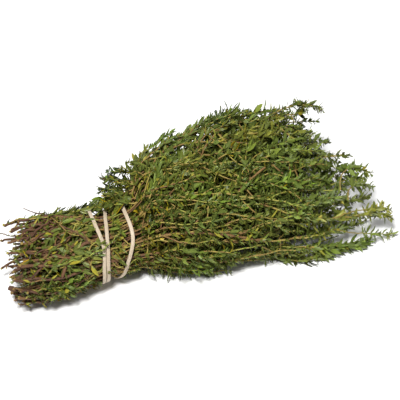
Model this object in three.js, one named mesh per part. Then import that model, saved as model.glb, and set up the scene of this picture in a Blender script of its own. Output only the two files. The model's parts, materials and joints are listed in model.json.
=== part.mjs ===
// A bundle of fresh thyme, lying on its side and held at the waist by a rubber band.
// Every sprig is one solid: a square stem, as all the mint family has, with side twigs and whorls
// of small pointed leaves that are raised from its own facets. The band is one closed loop that
// goes round the waist three times and crosses over itself on the far side.
// Millimetres. +X runs from the cut ends to the tips, +Z is up, the surface is z = 0.
import * as THREE from "three";

// ---- driving dimensions ----
const WAIST = { x: -49.1, y: -11.1 }; // the band's place, with the whole bundle centred on the origin
const WAIST_RADIUS = 18; // middles of the outermost stems, under the band
const CUT_END = { first: -54, spread: 11, slant: 6 }; // measured from the waist, as all stations are
const TIP = { longest: 176, far: 20, near: 34, top: 40, spread: 24 };

const STEM_HALF = { cut: 0.95, waist: 0.78, middle: 0.6, tip: 0.42 }; // half side, square stem
const TWIG_HALF = { start: 0.55, end: 0.42 };
const LARGE_LEAF = { length: 7.2, half: 1.35, keel: 0.8 };
const SMALL_LEAF = { length: 4.8, half: 1.05, keel: 0.7 };
const WIDEST = 0.5; // where along a leaf it is widest
const SEAT = 1.2; // length of stem that a whorl of leaves grows from
const TWIG_FREE = 8; // where a twig has come clear of its stem
const BUD = 3.2; // point at the end of each shoot
const FOOT = { length: 4, reach: 28 }; // flat spots that carry the bundle
const CLEARANCE = 0.35; // between two sprigs
const FLOOR_GAP = 0.4; // lowest leaf above the surface

const BAND = { width: 2.2, thickness: 1.0, radius: 20.6, lift: 1.5, stepsPerTurn: 25 };

// The bundle's cross-section along it: its middle (y, z), how far from that the outermost stems
// lie on the near, far, upper and lower side, and how full its corners are (0 is an ellipse).
const STATIONS = [
  { x: -70, y: 1, z: 24.5, near: 17.5, far: 25.5, up: 22.5, down: 20, full: 0.05 },
  { x: -38, y: 0.5, z: 24.0, near: 22, far: 24.5, up: 22, down: 21.3, full: 0.12 },
  { x: -13, y: 0, z: 22.8, near: 18.8, far: 20.4, up: 19.8, down: 18.6, full: 0 },
  { x: 0, y: 0, z: 22.5, near: 18, far: 18, up: 18, down: 18, full: 0 },
  { x: 11, y: 0.3, z: 23.2, near: 19, far: 20.5, up: 20, down: 18.8, full: 0 },
  { x: 20, y: 1.5, z: 25.0, near: 23.5, far: 29, up: 26, down: 22, full: 0.15 },
  { x: 30, y: 3, z: 26.5, near: 29.5, far: 35.5, up: 28, down: 24, full: 0.25 },
  { x: 55, y: 8, z: 26.5, near: 39.5, far: 41, up: 27.5, down: 24, full: 0.35 },
  { x: 92, y: 13, z: 24.5, near: 48, far: 45.5, up: 29.5, down: 22, full: 0.4 },
  { x: 115, y: 14, z: 22.5, near: 54, far: 44, up: 29.5, down: 20, full: 0.45 },
  { x: 140, y: 13, z: 20.0, near: 54, far: 38, up: 26, down: 17.5, full: 0.45 },
  { x: 175, y: 9, z: 17.0, near: 46, far: 30, up: 17, down: 14.5, full: 0.4 },
];

// Rings of sprigs, outermost first, at rho of the way out. Neighbouring rings twist opposite ways.
// Each sprig has whorls of leaves behind and ahead of the band, and side twigs.
const RINGS = [
  { count: 17, rho: 1.0, twist: 22, start: 0.0, flare: 0.16, behind: 2, ahead: 6, twigs: 2 },
  { count: 13, rho: 0.75, twist: -20, start: 0.3, flare: 0.1, behind: 1, ahead: 4, twigs: 1 },
  { count: 9, rho: 0.5, twist: 26, start: 0.1, flare: 0.1, behind: 0, ahead: 3, twigs: 0 },
  { count: 4, rho: 0.23, twist: -20, start: 0.4, flare: 0.1, behind: 0, ahead: 2, twigs: 0 },
];

// What each sprig draws at random. Turns are shares of the spacing in its ring, and rises shares of
// the section's half size; "inward" is the share of draws that go towards the middle.
const DRAWN = {
  turn: 0.24,
  girth: [0.7, 1.3],
  wave: { turn: 0.14, rise: 0.02, length: 11 },
  bend: { turn: 0.5, rise: 0.6, inward: 0.4, reach: 60 },
  splay: { turn: 0.5, rise: 0.14, inward: 0.6, reach: 45 },
  firstTwig: { start: [18, 26], side: 1, out: 0.9 },
  secondTwig: { start: [0.5, 0.66], side: -0.7, out: 0.5 }, // start as a share of the way to the tip
  twigLength: [26, 40],
  twigTurn: [0.36, 0.5],
  twigRise: [0.7, 1.1],
};
const TWIST_LENGTH = { ahead: 170, behind: 130 }; // in which a ring takes up its whole twist
const SHOOT_END = 20; // end of a stem that bears no second twig

// Sprigs of the outermost ring that carry the bundle, by number, and where they touch down.
const FEET = { 10: [100], 12: [-44], 14: [-44, 96] };

// Where every stem is bent to follow the waist.
const UNDER_BAND = [-13, 0, 6, 12];

// Where a main stem bears whorls: from its cut end to behind the band, and from ahead of it to its
// tip, at least so far apart.
const WHORLS = { fromCut: 8, behind: -14, ahead: 19, fromTip: 7, apart: 5, stray: 0.3 };
const TWIG_TIP = 4; // last whorl of a twig, from its end

// How a leaf stands, in degrees, and its share of the full size.
const LEAF_POSE = { tilt: [44, 62], swing: [-18, 18], scale: [0.85, 1.1] };
// Ways to place a leaf, tried in turn until it is clear: as drawn, or folded in, turned or smaller.
const LEAF_TRIES = [
  { lift: 0, mirror: 1, turn: 0, scale: 1 },
  { lift: 0, mirror: -1, turn: 0, scale: 1 },
  { lift: -14, mirror: 1, turn: 12, scale: 1 },
  { lift: -14, mirror: 1, turn: -14, scale: 0.9 },
  { lift: 12, mirror: 1, turn: 0, scale: 0.8 },
  { lift: -20, mirror: -1, turn: 0, scale: 0.75 },
];

const SEEDS = { plans: 5, leaves: 4711 };

// ---- small helpers ----

const degrees = Math.PI / 180;
const between = (a, b, t) => a + (b - a) * t;
const limit = (t) => Math.min(1, Math.max(0, t));
const ease = (t) => limit(t) ** 2 * (3 - 2 * limit(t));

// A repeatable stream of numbers between 0 and 1.
function drawFrom(seed) {
  let state = seed;
  return () => {
    state = (state * 48271) % 2147483647;
    return state / 2147483647;
  };
}

// ---- where the stems run ----

// The value of a table's column at x, on a smooth curve through its rows, which rise in x.
function smoothValue(table, x, key) {
  const last = table.length - 1;
  if (x <= table[0].x) return table[0][key];
  if (x >= table[last].x) return table[last][key];
  const i = table.findLastIndex((row) => row.x <= x);
  const [a, b] = [table[i], table[i + 1]];
  const [before, after] = [table[Math.max(0, i - 1)], table[Math.min(last, i + 2)]];
  const step = b.x - a.x;
  const t = (x - a.x) / step;
  const slopeA = ((b[key] - before[key]) / (b.x - before.x)) * step;
  const slopeB = ((after[key] - a[key]) / (after.x - a.x)) * step;
  return (
    (2 * t ** 3 - 3 * t ** 2 + 1) * a[key] +
    (t ** 3 - 2 * t ** 2 + t) * slopeA +
    (3 * t ** 2 - 2 * t ** 3) * b[key] +
    (t ** 3 - t ** 2) * slopeB
  );
}

function sectionAt(x) {
  const section = {};
  for (const key of Object.keys(STATIONS[0])) section[key] = smoothValue(STATIONS, x, key);
  return section;
}

// A point of the bundle: x along it, rho from its middle (0) to its outermost stems (1), and the
// angle round it, where 0 is the far side and a quarter turn is the top.
function bundlePoint(x, rho, angle) {
  const s = sectionAt(x);
  const [c, u] = [Math.cos(angle), Math.sin(angle)];
  const across = rho * c * (1 + s.full * u * u);
  const upward = rho * u * (1 + s.full * c * c);
  return new THREE.Vector3(
    x,
    s.y + across * (across > 0 ? s.far : s.near),
    s.z + upward * (upward > 0 ? s.up : s.down),
  );
}

// How far short of the longest a sprig ends: most on top, and more on the near than the far side.
function shortfall(ring, angle) {
  const across = ring.rho * Math.cos(angle);
  const upward = ring.rho * Math.sin(angle);
  const side = across > 0 ? TIP.far : TIP.near;
  return side * across ** 2 + TIP.top * Math.max(0, upward) ** 2;
}

const drawBetween = (draw, [low, high]) => between(low, high, draw());
const drawAside = (draw, { turn, rise, inward }) => ({
  turn: (draw() - 0.5) * turn,
  rise: (draw() - inward) * rise,
});

// One sprig's drawn values, always drawn in the same order.
function planSprig(draw, ring, number) {
  const spacing = (2 * Math.PI) / ring.count;
  const angle = (number + ring.start + DRAWN.turn * (draw() - 0.5)) * spacing;
  const slant = CUT_END.slant * ring.rho * Math.cos(angle);
  const root = CUT_END.first + slant - CUT_END.spread * draw();
  const tip = TIP.longest - shortfall(ring, angle) - TIP.spread * draw();
  const girth = drawBetween(draw, DRAWN.girth);
  const phase = 2 * Math.PI * draw();
  const bend = drawAside(draw, { ...DRAWN.bend, rise: DRAWN.bend.rise * ring.flare });
  const splay = drawAside(draw, DRAWN.splay);
  const firstStart = drawBetween(draw, DRAWN.firstTwig.start);
  const secondStart = drawBetween(draw, DRAWN.secondTwig.start) * (tip - SHOOT_END);
  const places = [
    { ...DRAWN.firstTwig, start: firstStart },
    { ...DRAWN.secondTwig, start: secondStart },
  ];
  const twigs = places.slice(0, ring.twigs).map(({ start, side, out }) => ({
    start,
    length: drawBetween(draw, DRAWN.twigLength),
    turn: side * spacing * drawBetween(draw, DRAWN.twigTurn),
    outward: out * ring.flare * drawBetween(draw, DRAWN.twigRise),
  }));
  const feet = ring.rho === 1 ? (FEET[number] ?? []) : [];
  return { ring, angle, spacing, root, tip, girth, phase, bend, splay, feet, twigs };
}

// How a sprig strays from a straight run at x: the ring's twist, a slow wave, a bent tip and a
// splayed cut end.
function straying({ ring, spacing, tip, phase, bend, splay }, x) {
  const along = x > 0 ? x / TWIST_LENGTH.ahead : x / TWIST_LENGTH.behind;
  const tipShare = ease((x - tip) / DRAWN.bend.reach + 1);
  const cutShare = ease(-x / DRAWN.splay.reach);
  const wave = phase + x / DRAWN.wave.length;
  const aside = DRAWN.wave.turn * Math.sin(wave) + bend.turn * tipShare + splay.turn * cutShare;
  return {
    turn: ring.twist * degrees * along + spacing * aside,
    rise: DRAWN.wave.rise * Math.cos(wave) + bend.rise * tipShare + splay.rise * cutShare,
  };
}

// The middle of a sprig's main stem at x, before a foot draws it down.
function freeStemPoint(plan, x) {
  const { turn, rise } = straying(plan, x);
  return bundlePoint(x, plan.ring.rho + rise, plan.angle + turn);
}

function stemPoint(plan, x) {
  const point = freeStemPoint(plan, x);
  for (const foot of plan.feet) {
    const above = freeStemPoint(plan, foot).z - stemHalf(plan, foot);
    const beyond = Math.max(0, Math.abs(x - foot) - FOOT.length / 2);
    point.z -= above * ease(1 - beyond / FOOT.reach);
  }
  point.z = Math.max(point.z, Math.SQRT2 * stemHalf(plan, x) + FLOOR_GAP);
  return point;
}

// Half the side of the square main stem at x.
function stemHalf(plan, x) {
  const middle = plan.tip / 2;
  if (x < 0) return plan.girth * between(STEM_HALF.waist, STEM_HALF.cut, x / plan.root);
  if (x < middle) return plan.girth * between(STEM_HALF.waist, STEM_HALF.middle, x / middle);
  return plan.girth * between(STEM_HALF.middle, STEM_HALF.tip, (x - middle) / middle);
}

// The middle of a twig, a distance along it. It leaves the stem and comes to lie between two
// neighbours of the same ring, a little further out.
function twigPoint(plan, twig, distance) {
  const x = twig.start + distance;
  const t = distance / twig.length;
  const away = 1 - (1 - t) ** 4;
  const { turn, rise } = straying(plan, x);
  const rho = plan.ring.rho + rise + twig.outward * away;
  const point = bundlePoint(x, rho, plan.angle + turn + twig.turn * away);
  point.z = Math.max(point.z, TWIG_HALF.start + FLOOR_GAP);
  return point;
}

// ---- skin: a closed surface of triangles, grown ring by ring ----

class Skin {
  positions = [];
  triangles = [];

  point(p) {
    this.positions.push(p.x, p.y, p.z);
    return this.positions.length / 3 - 1;
  }

  ring(corners) {
    return corners.map((corner) => this.point(corner));
  }

  triangle(a, b, c) {
    this.triangles.push(a, b, c);
  }

  quad(a, b, c, d) {
    this.triangle(a, b, c);
    this.triangle(a, c, d);
  }

  // Facets from one ring to the next, except those that something is raised from.
  tube(from, to, raised = []) {
    from.forEach((corner, k) => {
      const n = (k + 1) % 4;
      if (!raised[k]) this.quad(corner, from[n], to[n], to[k]);
    });
  }

  startCap([a, b, c, d]) {
    this.quad(d, c, b, a);
  }

  bud(ring, tip) {
    const end = this.point(tip);
    ring.forEach((corner, k) => this.triangle(corner, ring[(k + 1) % 4], end));
  }

  // A leaf raised from the facet a-b-c-d, where a and b are on the root side: flat above, with a
  // keel below, widest near its middle and pointed.
  leaf([a, b, c, d], shape) {
    const [keel, right, left, tip] = this.ring([shape.keel, shape.right, shape.left, shape.tip]);
    this.triangle(a, b, keel);
    this.quad(b, c, right, keel);
    this.quad(c, d, left, right);
    this.quad(d, a, keel, left);
    this.triangle(keel, right, tip);
    this.triangle(right, left, tip);
    this.triangle(left, keel, tip);
  }

  // Turns a facet's corners so that they meet the corners of the next section without a twist.
  matched(facet, corners) {
    const corner = (i) => new THREE.Vector3().fromArray(this.positions, 3 * i);
    const twist = (shift) =>
      corners.reduce((sum, c, k) => sum + c.distanceToSquared(corner(facet[(k + shift) % 4])), 0);
    const best = [0, 1, 2, 3].reduce((a, b) => (twist(b) < twist(a) ? b : a));
    return [0, 1, 2, 3].map((k) => facet[(k + best) % 4]);
  }

  geometry() {
    const geometry = new THREE.BufferGeometry();
    geometry.setAttribute("position", new THREE.Float32BufferAttribute(this.positions, 3));
    geometry.setIndex(this.triangles);
    geometry.computeVertexNormals();
    return geometry;
  }
}

// Corners of a rectangle about a middle, anticlockwise seen from the tip's side when u x v points
// to the tip.
function rectangle(middle, u, v, halfU, halfV) {
  const corner = (i, j) =>
    middle
      .clone()
      .addScaledVector(u, i * halfU)
      .addScaledVector(v, j * halfV);
  return [corner(-1, -1), corner(1, -1), corner(1, 1), corner(-1, 1)];
}

// The square section of a stem, with the outward normals of its four facets.
function squareSection(middle, tangent, half, roll) {
  const side = new THREE.Vector3(0, 0, 1).cross(tangent).normalize();
  const u = side.applyAxisAngle(tangent, roll);
  const v = tangent.clone().cross(u);
  const normals = [v.clone().negate(), u, v, u.clone().negate()];
  return { middle, tangent, half, normals, corners: rectangle(middle, u, v, half, half) };
}

// ---- keeping sprigs clear of each other ----

// Distance between the segments p1-q1 and p2-q2.
function segmentDistance(p1, q1, p2, q2) {
  const d1 = q1.clone().sub(p1);
  const d2 = q2.clone().sub(p2);
  const r = p1.clone().sub(p2);
  const [a, b, c, e, f] = [d1.dot(d1), d1.dot(d2), d1.dot(r), d2.dot(d2), d2.dot(r)];
  const spread = a * e - b * b;
  let s = spread > 1e-9 ? limit((b * f - c * e) / spread) : 0;
  const t = limit((b * s + f) / e);
  s = limit((b * t - c) / a);
  return p1.addScaledVector(d1, s).distanceTo(p2.clone().addScaledVector(d2, t));
}

// Everything placed so far, as rods with round ends in the cells of a coarse grid.
class Occupied {
  cells = new Map();
  cellSize = 12;

  keysOf(rod) {
    const margin = rod.radius + CLEARANCE;
    const low = rod.a.clone().min(rod.b).subScalar(margin).divideScalar(this.cellSize).floor();
    const high = rod.a.clone().max(rod.b).addScalar(margin).divideScalar(this.cellSize).floor();
    const keys = [];
    for (let x = low.x; x <= high.x; x++)
      for (let y = low.y; y <= high.y; y++)
        for (let z = low.z; z <= high.z; z++) keys.push(`${x},${y},${z}`);
    return keys;
  }

  add(rod) {
    for (const key of this.keysOf(rod)) {
      if (!this.cells.has(key)) this.cells.set(key, []);
      this.cells.get(key).push(rod);
    }
  }

  isClear(rod) {
    const nearby = this.keysOf(rod).flatMap((key) => this.cells.get(key) ?? []);
    return nearby.every((other) => {
      if (other.owner === rod.owner) return true;
      const gap = other.radius + rod.radius + CLEARANCE;
      return segmentDistance(rod.a.clone(), rod.b, other.a, other.b) >= gap;
    });
  }
}

// ---- sprigs ----

// A stem or twig as stops along it. Leaves grow between the two sections of a leafy stop.
function layStem(owner, pointAt, halfAt, roll, stops) {
  const sectionOf = (t) => {
    const tangent = pointAt(t + 0.5).sub(pointAt(t - 0.5)).normalize();
    return squareSection(pointAt(t), tangent, halfAt(t), roll);
  };
  const footSection = (t, middle) => {
    const at = pointAt(t).setZ(halfAt(middle));
    return squareSection(at, new THREE.Vector3(1, 0, 0), halfAt(middle), 0);
  };
  const laid = stops.map((stop) => {
    const half = stop.foot ? FOOT.length / 2 : SEAT / 2;
    let sections = [sectionOf(stop.t)];
    if (stop.foot) sections = [-half, half].map((offset) => footSection(stop.t + offset, stop.t));
    if (stop.leafy) sections = [-half, half].map((offset) => sectionOf(stop.t + offset));
    return { ...stop, sections, raised: [] };
  });
  return { owner, stops: laid };
}

// Evenly spread whorls between two places, each drawn a little off its place.
function spreadWhorls(draw, count, from, to) {
  const step = (to - from) / count;
  return Array.from({ length: count }, (_, k) => ({
    t: from + step * (k + WHORLS.stray * draw()),
    leafy: true,
    onlyPair: k % 2 === 1,
  }));
}

// Where the leaves, twigs and feet of a sprig sit along its main stem.
function mainStops(plan, draw) {
  const end = plan.tip - WHORLS.fromTip;
  const fixed = [
    { t: plan.root },
    ...UNDER_BAND.map((t) => ({ t })),
    { t: end, leafy: true },
    ...plan.feet.map((foot) => ({ t: foot, foot: true })),
    ...plan.twigs.map((twig) => ({ t: twig.start, leafy: true, twig })),
    ...plan.twigs.map((twig) => ({ t: twig.start + TWIG_FREE })),
  ];
  const whorls = [
    ...spreadWhorls(draw, plan.ring.behind, plan.root + WHORLS.fromCut, WHORLS.behind),
    ...spreadWhorls(draw, plan.ring.ahead, WHORLS.ahead, end),
  ];
  const isFree = (whorl) => fixed.every((stop) => Math.abs(stop.t - whorl.t) > WHORLS.apart);
  return [...fixed, ...whorls.filter(isFree)].sort((a, b) => a.t - b.t);
}

function twigStops(twig) {
  return [
    { t: TWIG_FREE },
    { t: twig.length / 2, leafy: true, onlyPair: true },
    { t: twig.length - TWIG_TIP, leafy: true },
  ];
}

function laySprig(plan, name, draw) {
  const roll = plan.feet.length ? 0 : 90 * degrees * draw();
  const pointAt = (x) => stemPoint(plan, x);
  const main = layStem(name, pointAt, (x) => stemHalf(plan, x), roll, mainStops(plan, draw));
  const stems = [main];
  for (const stop of main.stops.filter((candidate) => candidate.twig)) {
    const { twig } = stop;
    const twigAt = (distance) => twigPoint(plan, twig, distance);
    const halfAt = (distance) => between(TWIG_HALF.start, TWIG_HALF.end, distance / twig.length);
    const laid = layStem(`${name} twig ${stems.length}`, twigAt, halfAt, roll, twigStops(twig));
    const [seat, first] = [stop.sections[0], laid.stops[0].sections[0]];
    const aside = first.middle.clone().sub(stemPoint(plan, first.middle.x));
    stop.raised[facetTowards(seat, aside)] = { twig: laid };
    laid.strut = seat.middle.clone().lerp(first.middle, 0.4);
    stems.push(laid);
  }
  return { name, stems };
}

// The facet of a section that looks most nearly in a direction.
function facetTowards(section, direction) {
  const scores = section.normals.map((normal) => normal.dot(direction));
  return scores.indexOf(Math.max(...scores));
}

// A leaf standing off its facet, tilted from the stem's direction and swung across it.
function leafShape(stop, facet, size, pose) {
  const [{ middle, tangent, normals, half }] = stop.sections;
  const normal = normals[facet];
  const across = tangent.clone().cross(normal);
  const base = middle
    .clone()
    .addScaledVector(tangent, SEAT / 2)
    .addScaledVector(normal, half);
  const direction = tangent
    .clone()
    .multiplyScalar(Math.cos(pose.tilt))
    .addScaledVector(normal, Math.sin(pose.tilt))
    .addScaledVector(across, Math.sin(pose.swing))
    .normalize();
  const under = across.clone().cross(direction).normalize();
  const side = direction.clone().cross(under);
  const wide = base.clone().addScaledVector(direction, size.length * pose.scale * WIDEST);
  return {
    base,
    tip: base.clone().addScaledVector(direction, size.length * pose.scale),
    right: wide.clone().addScaledVector(side, size.half * pose.scale),
    left: wide.clone().addScaledVector(side, -size.half * pose.scale),
    keel: wide.clone().addScaledVector(under, size.keel),
  };
}

function leafRods(owner, shape, size, scale) {
  const along = (t) => shape.base.clone().lerp(shape.tip, t);
  return [
    { owner, a: along(0), b: along(1), radius: 0.5 },
    { owner, a: along(0.32), b: along(0.68), radius: 0.92 * size.half * scale },
  ];
}

function raiseLeaf(occupied, owner, stop, facet, size, draw) {
  const tilt = drawBetween(draw, LEAF_POSE.tilt);
  const swing = drawBetween(draw, LEAF_POSE.swing);
  const scale = drawBetween(draw, LEAF_POSE.scale);
  for (const attempt of LEAF_TRIES) {
    const pose = {
      tilt: (tilt + attempt.lift) * degrees,
      swing: (attempt.mirror * swing + attempt.turn) * degrees,
      scale: attempt.scale * scale,
    };
    const shape = leafShape(stop, facet, size, pose);
    const rods = leafRods(owner, shape, size, pose.scale);
    const lowest = Math.min(shape.tip.z, shape.left.z, shape.right.z, shape.keel.z);
    if (lowest < FLOOR_GAP || !rods.every((rod) => occupied.isClear(rod))) continue;
    rods.forEach((rod) => occupied.add(rod));
    stop.raised[facet] = { leaf: shape };
    return;
  }
}

// Whorls of four leaves: an opposite large pair and a small pair, a quarter turn on at each whorl.
function leafUp(occupied, sprig, draw) {
  for (const { owner, stops } of sprig.stems)
    stops
      .filter((stop) => stop.leafy)
      .forEach((stop, whorl) => {
        for (let facet = 0; facet < 4; facet++) {
          const size = (facet + whorl) % 2 ? LARGE_LEAF : SMALL_LEAF;
          if (stop.raised[facet] || (stop.onlyPair && size === SMALL_LEAF)) continue;
          raiseLeaf(occupied, owner, stop, facet, size, draw);
        }
      });
}

function occupyStem(occupied, { owner, stops, strut }) {
  const sections = stops.flatMap((stop) => stop.sections);
  if (strut) occupied.add({ owner, a: strut, b: sections[0].middle, radius: TWIG_HALF.start });
  for (let k = 1; k < sections.length; k++) {
    const radius = Math.SQRT2 * Math.max(sections[k - 1].half, sections[k].half);
    occupied.add({ owner, a: sections[k - 1].middle, b: sections[k].middle, radius });
  }
}

// Skins a stem from its root, or from the facet that it is raised from.
function skinStem(skin, stem, facet) {
  let last = facet;
  for (const stop of stem.stops) {
    const rings = stop.sections.map((section) => skin.ring(section.corners));
    if (last) skin.tube(last, rings[0]);
    else skin.startCap(rings[0]);
    if (rings.length > 1) skin.tube(rings[0], rings[1], stop.raised);
    stop.raised.forEach((raised, k) => skinRaised(skin, rings, raised, k));
    last = rings.at(-1);
  }
  const end = stem.stops.at(-1).sections.at(-1);
  skin.bud(last, end.middle.clone().addScaledVector(end.tangent, BUD));
}

function skinRaised(skin, [near, far], raised, k) {
  const n = (k + 1) % 4;
  const facet = [near[k], near[n], far[n], far[k]];
  if (raised.leaf) skin.leaf(facet, raised.leaf);
  else skinStem(skin, raised.twig, skin.matched(facet, raised.twig.stops[0].sections[0].corners));
}

// ---- rubber band ----

// Where the three passes lie along the bundle, at angles round it from just past the top, down
// the near side, underneath and up the far side to the next pass. The last pass goes over the
// other two on the far side.
const PASS_ANGLES = [95, 135, 180, 265, 360, 405];
const PASSES = [
  [-12.0, -11.6, -14.0, -11.5, -6.0, -1.0],
  [-5.2, -8.9, -11.3, -8.6, 0.0, 8.0],
  [7.6, 6.8, 0.6, -4.0, 5.5, -9.0],
];
const LIFTED = { from: 320, full: 350, until: 405, to: 450 };
const ROUND = 360 * PASSES.length;
const passPoints = PASSES.flatMap((pass, k) =>
  pass.map((along, i) => ({ x: PASS_ANGLES[i] + 360 * k, along })),
);
const moved = (point, by) => ({ ...point, x: point.x + by });
const bandPath = [
  moved(passPoints.at(-1), -ROUND),
  ...passPoints,
  moved(passPoints[0], ROUND),
  moved(passPoints[1], ROUND),
];

// A point at the band's distance from the bundle's middle.
function aroundBundle(x, angle, lift) {
  const s = sectionAt(x);
  const [across, upward] = [Math.cos(angle * degrees), Math.sin(angle * degrees)];
  const reach = (half) => half - WAIST_RADIUS + BAND.radius + lift;
  return new THREE.Vector3(
    x,
    s.y + across * reach(across > 0 ? s.far : s.near),
    s.z + upward * reach(upward > 0 ? s.up : s.down),
  );
}

// The band's middle line at a step round it, and the direction of its width, which lies along
// the bundle's own flare.
function bandAt(step) {
  const angle = PASS_ANGLES[0] + (360 * step) / BAND.stepsPerTurn;
  const x = smoothValue(bandPath, angle, "along");
  const inLastPass = angle - 360 * (PASSES.length - 1);
  const rising = ease((inLastPass - LIFTED.from) / (LIFTED.full - LIFTED.from));
  const falling = ease((LIFTED.to - inLastPass) / (LIFTED.to - LIFTED.until));
  const lift = BAND.lift * rising * falling;
  const flare = aroundBundle(x + 1, angle, lift).sub(aroundBundle(x - 1, angle, lift));
  return { middle: aroundBundle(x, angle, lift), flare };
}

const bandSteps = PASSES.length * BAND.stepsPerTurn;

function bandSkin() {
  const skin = new Skin();
  const rings = [];
  for (let step = 0; step < bandSteps; step++) {
    const { middle, flare } = bandAt(step);
    const behind = bandAt(step > 0 ? step - 1 : bandSteps - 1).middle;
    const tangent = bandAt(step + 1).middle.sub(behind).normalize();
    const outward = flare.cross(tangent).normalize();
    const along = tangent.clone().cross(outward);
    rings.push(skin.ring(rectangle(middle, outward, along, BAND.thickness / 2, BAND.width / 2)));
  }
  rings.forEach((ring, k) => skin.tube(ring, rings[(k + 1) % bandSteps]));
  return skin;
}

function occupyBand(occupied) {
  const radius = BAND.width / 2;
  for (let step = 0; step < bandSteps; step++)
    occupied.add({ owner: "band", a: bandAt(step).middle, b: bandAt(step + 1).middle, radius });
}

// ---- the bundle ----

const SPRIG_COLORS = [0x5f7434, 0x6c7d3c, 0x55682f, 0x788445];
const sprigMaterials = SPRIG_COLORS.map(
  (color) => new THREE.MeshStandardMaterial({ color, roughness: 0.65, metalness: 0 }),
);
const rubber = new THREE.MeshStandardMaterial({ color: 0xddc8b0, roughness: 0.55, metalness: 0 });

function namedMesh(name, skin, material) {
  const mesh = new THREE.Mesh(skin.geometry(), material);
  mesh.name = name;
  return mesh;
}

function growSprigs(occupied) {
  const planDraw = drawFrom(SEEDS.plans);
  const leafDraw = drawFrom(SEEDS.leaves);
  const sprigs = [];
  for (const ring of RINGS)
    for (let number = 0; number < ring.count; number++) {
      const name = `sprig_${String(sprigs.length + 1).padStart(2, "0")}`;
      sprigs.push(laySprig(planSprig(planDraw, ring, number), name, leafDraw));
    }
  for (const sprig of sprigs) sprig.stems.forEach((stem) => occupyStem(occupied, stem));
  for (const sprig of sprigs) leafUp(occupied, sprig, leafDraw);
  return sprigs;
}

function buildBundle() {
  const occupied = new Occupied();
  occupyBand(occupied);
  const bundle = new THREE.Group();
  growSprigs(occupied).forEach((sprig, k) => {
    const skin = new Skin();
    skinStem(skin, sprig.stems[0]);
    bundle.add(namedMesh(sprig.name, skin, sprigMaterials[k % sprigMaterials.length]));
  });
  bundle.add(namedMesh("rubber_band", bandSkin(), rubber));
  bundle.position.set(WAIST.x, WAIST.y, 0);
  return bundle;
}

export default buildBundle();
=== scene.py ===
import json
import math
import random
from functools import partial

import bpy
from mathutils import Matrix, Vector

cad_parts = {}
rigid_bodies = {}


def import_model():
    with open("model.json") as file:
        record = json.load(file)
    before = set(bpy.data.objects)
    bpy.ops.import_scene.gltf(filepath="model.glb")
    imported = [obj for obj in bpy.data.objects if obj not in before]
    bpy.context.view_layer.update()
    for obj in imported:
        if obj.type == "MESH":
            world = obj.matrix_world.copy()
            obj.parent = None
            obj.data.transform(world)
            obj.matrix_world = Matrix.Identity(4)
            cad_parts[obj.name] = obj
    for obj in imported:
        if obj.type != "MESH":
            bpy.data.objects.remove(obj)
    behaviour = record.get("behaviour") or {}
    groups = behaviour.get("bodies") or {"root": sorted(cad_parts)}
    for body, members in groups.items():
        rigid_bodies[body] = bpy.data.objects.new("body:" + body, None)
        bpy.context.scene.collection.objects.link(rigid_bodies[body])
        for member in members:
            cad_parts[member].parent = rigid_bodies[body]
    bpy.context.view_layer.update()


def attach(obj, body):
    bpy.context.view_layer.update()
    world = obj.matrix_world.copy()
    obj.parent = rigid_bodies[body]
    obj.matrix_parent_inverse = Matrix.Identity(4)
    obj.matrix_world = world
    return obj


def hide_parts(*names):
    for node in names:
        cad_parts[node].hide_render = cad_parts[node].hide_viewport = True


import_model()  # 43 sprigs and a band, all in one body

mm = 0.001

# The bundle's own rule, in millimetres, the same as the solids follow. Its x is measured from the
# band, its z from the surface, and an angle round it is 0 on the far side and a quarter turn on top.
bundle = {
    "waist": (-49.1, -11.1),
    "waistRadius": 18.0,
    "cutEnd": {"first": -54.0, "spread": 11.0, "slant": 6.0},
    "tip": {"longest": 176.0, "far": 20.0, "near": 34.0, "top": 40.0, "spread": 24.0},
    "stemHalf": {"cut": 0.95, "waist": 0.78, "middle": 0.6, "tip": 0.42},
    "twigHalf": 0.55,
    "foot": {"length": 4.0, "reach": 28.0},
    "feet": {10: [100], 12: [-44], 14: [-44, 96]},
    "floorGap": 0.4,
    "seed": 5,
}
# what each sprig draws: turns are shares of the spacing in its ring, rises shares of the section
drawn = {
    "turn": 0.24,
    "girth": (0.7, 1.3),
    "wave": {"turn": 0.14, "rise": 0.02, "length": 11.0},
    "bend": {"turn": 0.5, "rise": 0.6, "inward": 0.4, "reach": 60.0},
    "splay": {"turn": 0.5, "rise": 0.14, "inward": 0.6, "reach": 45.0},
    # the first twig starts this far ahead of the band, the second at a share of the stem
    "twigs": [{"start": (18, 26), "side": 1, "out": 0.9}, {"start": (0.5, 0.66), "side": -0.7, "out": 0.5}],
    "twigLength": (26, 40),
    "twigTurn": (0.36, 0.5),
    "twigRise": (0.7, 1.1),
    "twigHurry": 4,  # the higher, the sooner a twig has turned away
    "hookDelay": 3,  # the higher, the nearer to its tip it hooks
    "shootEnd": 20.0,
    "twist": {"ahead": 170.0, "behind": 130.0},
}
stationColumns = ("x", "y", "z", "near", "far", "up", "down", "full")
stations = [dict(zip(stationColumns, row)) for row in (
    (-70, 1, 24.5, 17.5, 25.5, 22.5, 20, 0.05),
    (-38, 0.5, 24.0, 22, 24.5, 22, 21.3, 0.12),
    (-13, 0, 22.8, 18.8, 20.4, 19.8, 18.6, 0),
    (0, 0, 22.5, 18, 18, 18, 18, 0),
    (11, 0.3, 23.2, 19, 20.5, 20, 18.8, 0),
    (20, 1.5, 25.0, 23.5, 29, 26, 22, 0.15),
    (30, 3, 26.5, 29.5, 35.5, 28, 24, 0.25),
    (55, 8, 26.5, 39.5, 41, 27.5, 24, 0.35),
    (92, 13, 24.5, 48, 45.5, 29.5, 22, 0.4),
    (115, 14, 22.5, 54, 44, 29.5, 20, 0.45),
    (140, 13, 20.0, 54, 38, 26, 17.5, 0.45),
    (175, 9, 17.0, 46, 30, 17, 14.5, 0.4),
)]
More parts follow.
